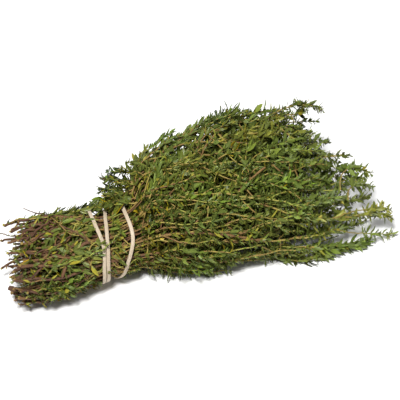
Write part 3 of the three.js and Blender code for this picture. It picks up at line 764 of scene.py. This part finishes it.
# runs a tree on a line object and keeps the plain mesh that comes out
def dress(name, lineObj, tree, inputs):
    modifier = lineObj.modifiers.new("dress", "NODES")
    modifier.node_group = tree
    for item in tree.interface.items_tree:
        if item.item_type == "SOCKET" and item.in_out == "INPUT" and item.name in inputs:
            modifier[item.identifier] = inputs[item.name]
    lineObj.update_tag()
    graph = bpy.context.evaluated_depsgraph_get()
    grown = lineObj.evaluated_get(graph)
    mesh = bpy.data.meshes.new_from_object(grown, preserve_all_data_layers=True, depsgraph=graph)
    lineObj.modifiers.remove(modifier)
    bpy.data.objects.remove(lineObj)
    mesh.name = name
    for slot in reversed(range(len(mesh.materials))):
        if mesh.materials[slot] is None:
            mesh.materials.pop(index=slot)
    piece = bpy.data.objects.new(name, mesh)
    bpy.context.scene.collection.objects.link(piece)
    return piece


# lengths in millimetres, and sizes, thickness and wood as shares
growth = {
    "seed": 631,
    "seedStep": 17,
    "slimness": 0.82,  # of a grown stem against its solid
    "unevenness": (0.88, 1.14),  # of its thickness, from whorl to whorl
    "spacing": 4.8,  # between two whorls on a grown stem
    "spacingShare": {"twig": 0.9, "spray": 0.7},
    "spacingSpread": (0.85, 1.15),
    "rootGap": 1.0,  # the least between a line's root and its first whorl
    "innerSpacing": 6.4,
    "innerRho": 0.6,  # sprigs this far inside the section or further have the inner spacing
    "tipSpacing": 2.2,
    "tipReach": 13.0,
    "tipSize": 0.62,
    "fullSize": 8.0,  # from the tip, where leaves reach their full size
    "bareChance": {"fan": 0.08, "cut": 0.36},
    "bareRoot": 7.0,  # up to this far from its cut end a stem is bare
    "bareTwig": 3.0,  # and a twig from its stem
    "cutReach": 30.0,  # how far behind the band the cut end's values hold in full
    "kink": 0.45,  # how far a stem may turn aside at a whorl
    "cutKink": 0.8,
    "kinkClear": 1.0,
    "nearest": -41.0,  # how far a stem may come to the near side
    "wood": (1.0, 0.28),  # at the cut end and in the fan
    "woodFrom": -60.0,
    "woodReach": 150.0,
    "woodSpread": (-0.3, 0.15),
    "twigWood": (0.45, 0.1),
    "twigWoodSpread": (-0.15, 0.3),
    "cutDepth": 0.9,  # how far the pale wood of a cut face shows
    "cutWood": 0.35,
    "bandClear": (-1.6, 6.4),  # whorls this far behind a pass of the band stay bare
    "bandRho": 0.85,  # if they lie further out in the section than this
    # on the near side's underside, but for this stretch, and behind the band far up, leaves are smaller
    "smallLeaf": {"size": 0.65, "notFrom": 14.0, "notTo": 64.0, "farShare": 0.2},
    # behind the band leaves lie closer to their stems low down, and so do those on the far shoulder
    "lowLean": {"least": 0.35, "most": 0.65, "height": 18.0, "reach": 12.0},
    "shoulderLean": {"lean": 0.34, "from": 28.0, "reach": 10.0, "until": 128.0, "fade": 25.0},
    "beneath": range(11, 16),  # the outer sprigs that lie undermost, with fewer shoots
    "fewerBeneath": 4,
}

# What grows beside a sprig of each ring: extra side shoots, and mates, thinner stems of the same
# shoot system, with their own shoots and the share of the sprig's reach where they end.
company = [
    {"shoots": 8, "mates": 3, "mateShoots": 2, "mateTip": (0.45, 0.94)},
    {"shoots": 5, "mates": 3, "mateShoots": 2, "mateTip": (0.7, 1.0)},
    {"shoots": 1, "mates": 1, "mateShoots": 0, "mateTip": (0.7, 1.0)},
    {"shoots": 1, "mates": 1, "mateShoots": 0, "mateTip": (0.7, 1.0)},
]
shoot = {
    "length": (14, 36),
    "half": (0.48, 0.27),  # half width at its root and its tip
    "fromRoot": 4,
    "fromTip": 16,
    "along": (1.0, 1.0, 0.8, 0.5),  # how straight on it grows, 1 for along the bundle
    "outward": (-0.4, 0.6),
    "turn": (0.4, 1.3),
    "hook": 0.12,
    "tipGap": 2,
    "shortest": 7,
    # one that would start behind or under the band stays behind it
    "behind": {"until": 13, "start": -20, "spread": 6, "end": -11, "outward": (-0.08, 0.1)},
}
# a long shoot that crosses over a sprig's neighbours
stray = {
    "count": 2,
    "start": 16,
    "length": (32, 58),
    "turn": (0.7, 2.4),
    "outward": (0.05, 0.12),
    "hurry": 1.7,
    "leaves": 0.7,
    "half": (0.6, 0.34),
    "hook": 0.1,
    "farShare": 0.3,  # beyond it a stray on the far side doesn't hook further out
}
# a short shoot in the gap between two passes of the band
tuft = {"count": 3, "start": (-9.0, 1.0), "length": (6.0, 9.0), "outward": 0.1}
# how a mate differs from its sprig
mateHabit = {
    "rho": (0.88, 1.02),
    "twist": 70.0,  # degrees, so that they lie across the others
    "apart": (0.25, 0.75),
    "root": (-4, 8),
    "girth": (0.5, 1.05),
    "wave": {"turn": (0.2, 0.7), "rise": 0.04, "length": (9, 18)},
    "bend": {"turn": (-0.5, 0.5), "rise": (-0.08, 0.04)},
    "splay": {"turn": (-2.2, 2.2), "rise": (-0.12, 0.05)},
}

# Sprays that stand out of the bundle, in groups: what a group shares, then a row for each spray. A row
# gives its sprig, where it leaves it, the middle and end of its arch, and where they aren't plain, the
# size of its leaves, how woody it is (drawn, if None) and its stem's half width (a shoot's, if None).
plainSpray = {"leaves": 0.9, "wood": None, "half": None, "lean": 1.0, "bare": 0.0}
sprayWood = (0.15, 0.4)
sprayColumns = ("sprig", "start", "via", "end", "leaves", "wood", "half")
sprayGroups = [
    # a clump over the far shoulder, just ahead of the band
    ({}, [
        (3, 20, (14, 26, 47), (4, 29, 49), 1.1, 0.55),
        (3, 24, (18, 28, 50), (9, 30, 52), 1.0, 0.1),
        (4, 26, (24, 26, 52), (16, 27, 52), 1.0, 0.55),
        (4, 20, (16, 18, 50), (8, 21, 51), 1.0, 0.1),
        (4, 18, (12, 13, 48), (1, 16, 46), 1.1, 0.55),
        (3, 18, (12, 21, 44), (0, 21, 47), 1.0, 0.1),
        (2, 19, (13, 27, 38), (2, 26, 44), 1.0, 0.55),
        (2, 22, (17, 31, 40), (8, 31, 46), 1.0, 0.1),
        (5, 18, (13, 8, 48), (3, 9, 47), 0.8, 0.55),
        (4, 32, (30, 27, 54), (22, 30, 54), 0.9, 0.1),
    ]),
    # over the crest of the band
    ({"lean": 0.6}, [
        (3, -34, (-16, 15, 42.5), (2, 14, 42.5), 1.0),
        (4, -40, (-24, 13, 43.5), (-6, 12, 43.5), 1.1),
        (4, -46, (-32, 15, 43), (-20, 14, 43), 1.0),
        (3, -48, (-38, 17, 42), (-27, 16, 42), 1.0),
    ]),
    # a young stem over the band, then dry ones and leafy ones over the cut end
    ({}, [
        (8, -43, (-14, -23, 37), (-1, -13, 43), 0.4, 0.0),
        (4, -26, (-40, 16, 45), (-47, 25, 47), 0.0, 1.0),
        (6, -38, (-54, 4, 45), (-65, 16, 40), 0.3, 0.9),
        (8, -24, (-34, -9, 47), (-43, 8, 46), 0.0, 1.0),
        (9, -40, (-34, -17, 40), (-20, -12, 42), 0.2, 0.8, 1.1),
        (4, -40, (-29, -1, 49), (-19, -13, 42), 0.0, 1.0, 0.5),
        (6, -54, (-46, 3, 48), (-37, 8, 46), 0.0, 1.0, 0.7),
        (7, -60, (-49, -3, 47), (-32, 3, 46), 0.2, 0.9, 0.6),
        (8, -52, (-38, -11, 45), (-23, -4, 45), 0.3, 0.7, 0.6),
        (9, -58, (-48, -17, 40), (-36, -12, 43), 0.0, 1.0, 0.7),
        (10, -52, (-40, -24, 22), (-26, -21, 27), 0.8, 0.1, 0.4),
        (11, -46, (-32, -23, 13), (-20, -20, 21), 0.8, 0.1, 0.4),
        (11, -56, (-46, -21, 18), (-32, -20, 24), 0.8, 0.2),
        (10, -30, (-38, -24, 16), (-50, -21, 14), 0.8, 0.2),
        (10, -57, (-52, -23, 24), (-41, -22, 30), 0.8, 0.3),
        (11, -61, (-56, -20, 19), (-45, -22, 21), 0.8, 0.2),
        (7, -50, (-58, -6, 44), (-64, -3, 43), 0.9, 0.5),
        (9, -50, (-60, -20, 33), (-67, -16, 32), 0.7, 0.6),
        (6, -44, (-54, -4, 46), (-61, -9, 44), 0.9, 0.6),
        (10, -34, (-44, -21, 30), (-58, -17, 31), 0.4, 0.9, 0.6),
        (11, -40, (-54, -10, 7), (-67, -2, 13), 0.0, 1.0, 1.5),
        (5, 16, (8, 6, 46.5), (-4, 8, 46), 1.1),
    ]),
    # from the clump back over the band
    ({"lean": 0.7}, [
        (4, 17, (9, 11, 45), (-6, 13, 43), 1.2),
        (3, 16, (8, 16, 43), (-9, 16, 41), 1.2),
        (2, 17, (9, 20, 39), (-8, 19, 39), 1.2),
    ]),
    # stems that lie across the fan
    ({}, [
        (8, 22, (46, -30, 44), (80, -40, 30), 0.5, 0.75, 0.85),
        (6, 62, (92, -12, 60), (105, -34, 50), 0.7, 0.3),
        (7, 16, (32, -12, 54), (48, -18, 53), 0.4, 0.25),
        (6, 70, (80, -10, 57), (91, -6, 57), 0.0, 0.4),
        (6, 73, (82, -13, 57), (94, -8, 57), 0.0, 0.6, 0.7),
        (6, 67, (78, -7, 57), (89, 0, 57), 0.6, 0.3),
        (5, 22, (31, 6, 57), (38, 20, 57), 1.0, 0.0),
        (4, 28, (46, 14, 60), (64, 8, 58), 0.5, 0.3),
        (7, 84, (100, -24, 54), (122, -26, 48), 0.6, 0.2),
        (5, 86, (104, -8, 58), (126, -8, 50), 0.7, 0.3),
    ]),
    # along the fan's far top edge
    ({}, [
        (3, 72, (86, 46, 57), (98, 44, 58.5), 1.0),
        (3, 80, (94, 45, 57), (106, 43, 57.5), 1.0),
        (2, 76, (90, 52, 54), (102, 50, 55), 1.2),
        (4, 78, (94, 24, 54), (112, 21, 54), 1.1),
        (4, 86, (102, 29, 51), (120, 27, 49), 1.1),
        (3, 88, (106, 37, 48), (124, 33, 46), 1.1),
        (5, 90, (108, 14, 53), (126, 17, 48), 1.1),
        (3, 110, (128, 34, 44), (144, 28, 40), 1.0),
    ]),
    # the far corner of the fan, and what arches up from it
    ({}, [
        (2, 104, (124, 41, 38), (139, 36, 40)),
        (3, 100, (118, 39, 46), (136, 31, 45)),
        (3, 96, (112, 40, 50), (127, 36, 53)),
        (4, 98, (120, 26, 52), (140, 23, 42)),
        (4, 92, (110, 32, 54), (124, 33, 54)),
        (5, 98, (122, 14, 48), (143, 9, 38)),
        (3, 118, (147, 25, 55), (137, 38, 60)),
        (3, 120, (140, 36, 64.5), (150, 28, 56)),
    ]),
    # long tips, some of them bare for a part of their length
    ({}, [
        (8, 134, (152, -38, 20), (166, -29, 19)),
        (9, 112, (128, -34, 14), (145, -34, 14)),
    ]),
    ({"bare": 0.45}, [
        (6, 132, (150, 4, 36), (166, -11, 30)),
    ]),
    ({"bare": 0.4}, [
        (7, 136, (148, -12, 32), (164, -17, 24)),
        (8, 140, (160, -30, 18), (168, -37, 14)),
        (9, 128, (150, -39, 9), (169, -42, 3), 0.8, None, 0.3),
    ]),
    ({"bare": 0.5}, [
        (8, 126, (150, -30, 24), (169, -33, 17)),
    ]),
    # in the holes at the end of the fan
    ({}, [
        (6, 96, (116, -16, 46), (136, -12, 36), 1.0),
        (8, 104, (122, -36, 28), (142, -32, 22), 1.0),
        (9, 100, (120, -38, 20), (138, -36, 16), 1.0),
        (5, 104, (124, 2, 44), (142, 0, 34), 1.0),
        (7, 100, (116, -30, 44), (130, -26, 38), 1.0),
        (7, 108, (124, -30, 40), (140, -27, 34), 1.0),
    ]),
    # under the near corner of the fan, with their leaves laid close
    ({"lean": 0.75}, [
        (11, 86, (104, -43, 2.5), (124, -42, 2.5), 1.0),
        (11, 92, (112, -43, 2.5), (134, -42, 2.5), 1.0),
        (10, 98, (128, -43, 3), (153, -42, 2.5), 1.0),
        (10, 108, (126, -42, 4), (146, -42, 3), 1.0),
    ]),
    ({"lean": 0.8}, [
        (10, 112, (134, -41, 5), (150, -40, 4)),
    ]),
]
sprays = [
    {**plainSpray, **shared, **dict(zip(sprayColumns, row))}
    for shared, rows in sprayGroups
    for row in rows
]


# places along a line from its root to its tip, closer together towards the tip
def nodePlaces(start, end, spacing, rng):
    places, left = [end], 0.0
    while True:
        step = between(growth["tipSpacing"], spacing, ease(left / growth["tipReach"]))
        left += step * rng.uniform(*growth["spacingSpread"])
        if end - left < start + growth["rootGap"]:
            break
        places.append(end - left)
    return [start] + places[::-1]


# 0 ahead of the band, rising to 1 behind it
def behindBand(x):
    return limit(-x / growth["cutReach"])


def leafSizeAt(fromTip, x, rho, angle, rng):
    if rng.random() < between(growth["bareChance"]["fan"], growth["bareChance"]["cut"], behindBand(x)):
        return 0.0
    low, high = growth["bandClear"]
    if rho > growth["bandRho"] and any(low < ahead < high for ahead in bandAhead(x, angle)):
        return 0.0
    small = growth["smallLeaf"]
    far, up = math.cos(angle), math.sin(angle)
    underNear = far < 0 and up < 0 and not small["notFrom"] <= x <= small["notTo"]
    behindFar = far > small["farShare"] and up > 0 and x < 0
    share = small["size"] if underNear or behindFar else 1.0
    return between(growth["tipSize"], 1.0, ease(fromTip / growth["fullSize"])) * share


def leanAt(point):
    low, shoulder = growth["lowLean"], growth["shoulderLean"]
    lowest = between(low["least"], low["most"], limit(point.z / low["height"]))
    lean = between(1.0, lowest, limit(-point.x / low["reach"]))
    across = ease((point.y - shoulder["from"]) / shoulder["reach"])
    along = ease((shoulder["until"] - point.x) / shoulder["fade"])
    return between(lean, shoulder["lean"], across * along)


# a stem turns aside a little at each whorl, but not into the surface or past the near side
def kinked(point, rng):
    reach = between(growth["kink"], growth["cutKink"], behindBand(point.x))
    aside = Vector((0, rng.uniform(-reach, reach), rng.uniform(-reach, reach)))
    point = point + aside if point.z > 2 * reach + growth["kinkClear"] else point
    point.y = max(point.y, growth["nearest"])
    return point


def growMain(plan, rng):
    rho = plan["ring"]["rho"]
    spacing = growth["spacing"] if rho > growth["innerRho"] else growth["innerSpacing"]
    age = rng.uniform(*growth["woodSpread"])
    bareUntil = plan["root"] + growth["bareRoot"] * rng.random()
    chain = []
    places = nodePlaces(plan["root"], plan["tip"], spacing, rng)
    places.insert(1, plan["root"] + growth["cutDepth"])
    for x in places:
        turn, rise = straying(plan, x)
        wood = between(*growth["wood"], ease((x - growth["woodFrom"]) / growth["woodReach"])) + age
        size = leafSizeAt(plan["tip"] - x, x, rho + rise, plan["angle"] + turn, rng)
        chain.append({
            "at": kinked(stemPoint(plan, x), rng),
            "thickness": stemHalf(plan, x) * growth["slimness"] * rng.uniform(*growth["unevenness"]) * mm,
            "wood": limit(wood) if chain else growth["cutWood"],
            "leafSize": size if x > bareUntil else 0.0,
            "lean": leanAt(stemPoint(plan, x)),
        })
    return chain


def growTwig(plan, twig, rng):
    chain = []
    age = rng.uniform(*growth["twigWoodSpread"])
    length, half = twig["length"], twig.get("half", shoot["half"])
    for d in nodePlaces(0.0, length, growth["spacing"] * growth["spacingShare"]["twig"], rng):
        x, t = twig["start"] + d, d / length
        size = leafSizeAt(length - d, x, plan["ring"]["rho"] + twig["outward"], plan["angle"], rng)
        chain.append({
            "at": kinked(twigPoint(plan, twig, d), rng) if d > 0 else stemPoint(plan, x),
            "thickness": between(*half, t) * mm,
            "wood": limit(between(*growth["twigWood"], t) + age),
            "leafSize": size * twig.get("leaves", 1) if d > growth["bareTwig"] else 0.0,
            "lean": leanAt(twigPoint(plan, twig, d)),
        })
    return chain


def growSpray(plan, spray, rng):
    root, via, end = stemPoint(plan, spray["start"]), Vector(spray["via"]), Vector(spray["end"])
    length = (via - root).length + (end - via).length
    half = (spray["half"],) * 2 if spray["half"] else shoot["half"]
    drawnWood = rng.uniform(*sprayWood)
    wood = drawnWood if spray["wood"] is None else spray["wood"]
    chain = []
    for d in nodePlaces(0.0, length, growth["spacing"] * growth["spacingShare"]["spray"], rng):
        t = d / length
        fullness = between(growth["tipSize"], 1.0, ease((length - d) / growth["fullSize"]))
        leafy = d > growth["bareTwig"] and t >= spray["bare"]
        chain.append({
            "at": kinked(root * (1 - t) ** 2 + via * 2 * t * (1 - t) + end * t**2, rng),
            "thickness": between(*half, t) * mm,
            "wood": wood,
            "leafSize": fullness * spray["leaves"] if leafy else 0.0,
            "lean": spray["lean"],
        })
    return chain


def sideShoots(plan, count, rng):
    behind = shoot["behind"]
    first, last = plan["root"] + shoot["fromRoot"], plan["tip"] - shoot["fromTip"]
    twigs = []
    for k in range(count):
        start = between(first, last, (k + rng.random()) / count)
        length = rng.uniform(*shoot["length"])
        along = rng.choice(shoot["along"])
        outward = plan["ring"]["flare"] * rng.uniform(*shoot["outward"])
        if start < behind["until"]:
            start = min(start, behind["start"] - behind["spread"] * rng.random())
            length = min(length, (behind["end"] - start) / along)
            outward = rng.uniform(*behind["outward"])
        length = min(length, (plan["tip"] - start - shoot["tipGap"]) / along)
        turn = rng.choice((-1, 1)) * plan["spacing"] * rng.uniform(*shoot["turn"]) / along
        hook = [rng.uniform(-1, 1) * length * shoot["hook"] for axis in range(3)]
        if length > shoot["shortest"]:
            twigs.append({"start": start, "length": length, "along": along, "turn": turn,
                          "outward": outward, "hook": hook})
    return twigs


def strayShoot(plan, rng):
    length = rng.uniform(*stray["length"])
    turn = rng.choice((-1, 1)) * plan["spacing"] * rng.uniform(*stray["turn"])
    sideways = (-1, 0) if math.cos(plan["angle"]) > stray["farShare"] else (-1, 1)
    hook = [rng.uniform(*reach) * length * stray["hook"] for reach in ((-1, 1), sideways, (-1, 0))]
    start = rng.uniform(stray["start"], plan["tip"] - length)
    return {**stray, "start": start, "length": length, "turn": turn, "hook": hook,
            "outward": rng.uniform(*stray["outward"])}


def tuftShoot(plan, rng):
    turn = rng.uniform(-1, 1) * plan["spacing"]
    start = rng.uniform(*tuft["start"])
    return {"start": start, "length": rng.uniform(*tuft["length"]), "turn": turn, "outward": tuft["outward"]}


# a mate lies beside its sprig and crosses its neighbours
def matePlan(plan, tipShare, rng):
    habit, ring = mateHabit, dict(plan["ring"])
    ring["rho"] *= rng.uniform(*habit["rho"])
    ring["twist"] = rng.uniform(-1, 1) * habit["twist"]
    mate = dict(plan, ring=ring, feet=[], twigs=[])
    mate["angle"] = plan["angle"] + plan["spacing"] * rng.uniform(*habit["apart"])
    mate["root"] = plan["root"] + rng.uniform(*habit["root"])
    mate["tip"] = plan["tip"] * rng.uniform(*tipShare)
    mate["girth"] = rng.uniform(*habit["girth"])
    mate["phase"] = 2 * math.pi * rng.random()
    mate["wave"] = dict(habit["wave"])
    for part in ("turn", "length"):
        mate["wave"][part] = rng.uniform(*habit["wave"][part])
    for name in ("bend", "splay"):
        mate[name] = {part: rng.uniform(*spread) for part, spread in habit[name].items()}
    return mate


# a sprig's lines: its main stem, its twigs and shoots, its mates with theirs, and its sprays
def sprigChains(plan, k, level, beneath, rng):
    beside = company[level]
    chains = [growMain(plan, rng)]
    shoots = sideShoots(plan, beside["shoots"] - growth["fewerBeneath"] * beneath, rng)
    if level == 0:
        shoots += [tuftShoot(plan, rng) for count in range(tuft["count"])]
        shoots += [strayShoot(plan, rng) for count in range(0 if beneath else stray["count"])]
    chains += [growTwig(plan, twig, rng) for twig in plan["twigs"] + shoots]
    for mate in [matePlan(plan, beside["mateTip"], rng) for count in range(beside["mates"] - beneath)]:
        chains.append(growMain(mate, rng))
        chains += [growTwig(mate, twig, rng) for twig in sideShoots(mate, beside["mateShoots"], rng)]
    return chains + [growSpray(plan, spray, rng) for spray in sprays if spray["sprig"] == k + 1]


slotNames = list(leafLook["greens"])
leafMaterials = {name: thymeLeafMaterial(name) for name in slotNames}
stemMaterial = thymeStemMaterial()
sprigTree = leafySprigTree()
lineAttributes = dict.fromkeys(("thickness", "wood", "leafSize", "lean"), "FLOAT")
outerForm = {"Leaf shapes": outerLeaves}
innerForm = {  # plainer, and their leaves kept near their darkest green: painted shade deep inside the bundle
    "Leaf shapes": innerLeaves,
    "Stem sides": 4,
    "Stem smoothness": 1,
    "Grown leaves": 0.0,
    # painted shade: leaves inside the bundle are drawn dark, for the shade that falls between them
    "Lightest leaf": 0.08,
}
planDraw = drawFrom(bundle["seed"])
sprigPieces = []
for level, ring in enumerate(rings):
    for number in range(ring["count"]):
        k = len(sprigPieces)
        rng = random.Random(growth["seed"] + growth["seedStep"] * k)
        plan = planSprig(planDraw, ring, number)
        beneath = level == 0 and number in growth["beneath"]
        node = f"sprig_{k + 1:02d}"
        slotName = slotNames[k % len(slotNames)]
        lineObj = lineObject(node, sprigChains(plan, k, level, beneath, rng), lineAttributes)
        piece = dress("leafy_" + node, lineObj, sprigTree, {
            **(innerForm if level else outerForm), "Leaf material": leafMaterials[slotName],
            "Stem material": stemMaterial, "Seed": growth["seed"] + k,
        })
        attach(piece, "root")
        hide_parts(node)
        sprigPieces.append(piece)
print("sprigs grown:", len(sprigPieces), "triangles:",
      sum(sum(len(p.vertices) - 2 for p in s.data.polygons) for s in sprigPieces))
for shapes in (outerLeaves, innerLeaves):
    for shape in list(shapes.objects):
        bpy.data.objects.remove(shape)
    bpy.data.collections.remove(shapes)


ribbonInputs = {
    "Width": band["width"] * mm,
    "Thickness": band["thickness"] * mm,
    "Corner": band["corner"] * mm,
    "Corner points": 3,
    "Line width": rubberLook["lineWidth"] * mm,
    "Line length": rubberLook["lineLength"] * mm,
    "Material": "Material",
}


# A closed line with the attribute outward becomes a flat ribbon whose face looks that way.
def ribbonTree():
    tree = newTree("rubberRibbon", ribbonInputs)
    add = partial(addNode, tree)
    onPoints = {"data_type": "FLOAT_VECTOR", "domain": "POINT"}
    given = add("NodeGroupInput").outputs
    line = add("GeometryNodeMeshToCurve", {"Mesh": given["Lines"]})
    outward = add("GeometryNodeInputNamedAttribute", {"Name": "outward"}, data_type="FLOAT_VECTOR")
    facing = add("GeometryNodeSetCurveNormal", {"Curve": line, "Normal": outward}, mode="FREE")
    length = add("GeometryNodeSplineParameter").outputs["Length"]
    measured = add("GeometryNodeStoreNamedAttribute",
                   {"Geometry": facing, "Name": "alongBand", "Value": length},
                   data_type="FLOAT", domain="POINT")
    box = add("GeometryNodeCurvePrimitiveQuadrilateral",
              {"Width": given["Thickness"], "Height": given["Width"]})
    cut = add("GeometryNodeFilletCurve",
              {"Curve": box, "Count": given["Corner points"], "Radius": given["Corner"]}, mode="POLY")
    place = add("GeometryNodeInputPosition")
    shaped = add("GeometryNodeStoreNamedAttribute",
                 {"Geometry": cut, "Name": "across", "Value": place}, **onPoints)
    ribbon = add("GeometryNodeCurveToMesh", {"Curve": measured, "Profile Curve": shaped, "Fill Caps": True})
    # the lines in the rubber: fine across it, long along it, counted in lines
    across = add("GeometryNodeInputNamedAttribute", {"Name": "across"}, data_type="FLOAT_VECTOR")
    along = add("GeometryNodeInputNamedAttribute", {"Name": "alongBand"}, data_type="FLOAT")
    perLine = add("ShaderNodeMath", (1.0, given["Line width"]), operation="DIVIDE")
    flat = add("ShaderNodeVectorMath", {0: across, "Scale": perLine}, operation="SCALE")
    far = add("ShaderNodeMath", (along, given["Line length"]), operation="DIVIDE")
    onEnd = add("ShaderNodeCombineXYZ", {"Z": far})
    grain = add("ShaderNodeVectorMath", (flat, onEnd), operation="ADD")
    grained = add("GeometryNodeStoreNamedAttribute",
                  {"Geometry": ribbon, "Name": "grain", "Value": grain}, **onPoints)
    rounded = add("GeometryNodeSetShadeSmooth", {"Geometry": grained})
    coloured = add("GeometryNodeSetMaterial", {"Geometry": rounded, "Material": given["Material"]})
    add("NodeGroupOutput", [coloured])
    return tree


# points along the middle of the band, all the way round its three passes; it closes on itself
def bandChain():
    turnOf = 360 / band["stepsPerTurn"]
    chain = []
    for step in range(band["stepsPerTurn"] * len(band["passes"])):
        angle = band["angles"][0] + step * turnOf
        middle, flare = bandAt(angle)
        behind = bandAt(angle - turnOf if step else angle - turnOf + bandRound)[0]
        ahead = bandAt(angle + turnOf)[0]
        tangent = (ahead - behind).normalized()
        chain.append({"at": middle, "outward": flare.cross(tangent).normalized()})
    return chain


bandLine = lineObject("rubber_band", [bandChain()], {"outward": "FLOAT_VECTOR"}, cyclic=True)
bandPiece = dress("flat_rubber_band", bandLine, ribbonTree(), {"Material": rubberMaterial()})
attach(bandPiece, "root")
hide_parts("rubber_band")
print("band made:", len(bandPiece.data.polygons), "faces")


studio = {
    "floorSize": 6.0,
    "floorColour": "#f4f4f3",
    "floorRoughness": 0.9,
    "worldColour": "#ffffff",
    "worldStrength": 0.05,
    "lights": {
        "keyLight": {"power": 18.0, "size": 0.22, "at": (-0.3, -0.4, 1.0)},
        "fillLight": {"power": 1.5, "size": 0.9, "at": (0.5, -0.9, 0.7)},
        "backLight": {"power": 7.0, "size": 0.9, "at": (0.5, 1.0, 0.7)},
    },
}


def areaLight(name, at, size, power):
    lamp = bpy.data.lights.new(name, "AREA")
    lamp.size = size
    lamp.energy = power
    light = bpy.data.objects.new(name, lamp)
    light.location = at
    light.rotation_euler = (-Vector(at)).to_track_quat("-Z", "Y").to_euler()
    bpy.context.scene.collection.objects.link(light)


def makeStudio():
    half = studio["floorSize"] / 2
    mesh = bpy.data.meshes.new("floor")
    corners = [(-half, -half, 0), (half, -half, 0), (half, half, 0), (-half, half, 0)]
    mesh.from_pydata(corners, [], [(0, 1, 2, 3)])
    floor = bpy.data.objects.new("floor", mesh)
    bpy.context.scene.collection.objects.link(floor)
    material, shader, add = newMaterial("paleCard")
    connect(shader, {"Base Color": fromHex(studio["floorColour"]), "Roughness": studio["floorRoughness"]})
    mesh.materials.append(material)
    world = bpy.data.worlds.new("softSky")
    world.use_nodes = True
    sky = {"Color": fromHex(studio["worldColour"]), "Strength": studio["worldStrength"]}
    connect(world.node_tree.nodes["Background"], sky)
    bpy.context.scene.world = world
    for name, light in studio["lights"].items():
        areaLight(name, **light)
    bpy.context.scene.view_settings.view_transform = "Standard"


# The camera's line of sight meets the band's middle, right and down from the view's own middle.
view = {
    "azimuth": -17.5,  # degrees
    "elevation": 45.0,
    "distance": 0.8,  # metres, as are the next three
    "target": (bundle["waist"][0] * mm, bundle["waist"][1] * mm, 0.022),
    "aside": 0.0528,
    "above": 0.0228,
    "lens": 120.0,
    "clip": (0.01, 20),
}


def makeCamera():
    a, e = math.radians(view["azimuth"]), math.radians(view["elevation"])
    back = Vector((math.sin(a) * math.cos(e), -math.cos(a) * math.cos(e), math.sin(e)))
    right = Vector((math.cos(a), math.sin(a), 0))
    up = back.cross(right)
    target = Vector(view["target"])
    data = bpy.data.cameras.new("camera")
    data.lens = view["lens"]
    data.clip_start, data.clip_end = view["clip"]
    camera = bpy.data.objects.new("camera", data)
    camera.location = target + back * view["distance"]
    aim = target + right * view["aside"] + up * view["above"]
    camera.rotation_mode = "QUATERNION"
    camera.rotation_quaternion = (aim - camera.location).to_track_quat("-Z", "Y")
    bpy.context.scene.collection.objects.link(camera)
    bpy.context.scene.camera = camera


makeStudio()
makeCamera()
print("studio ready")
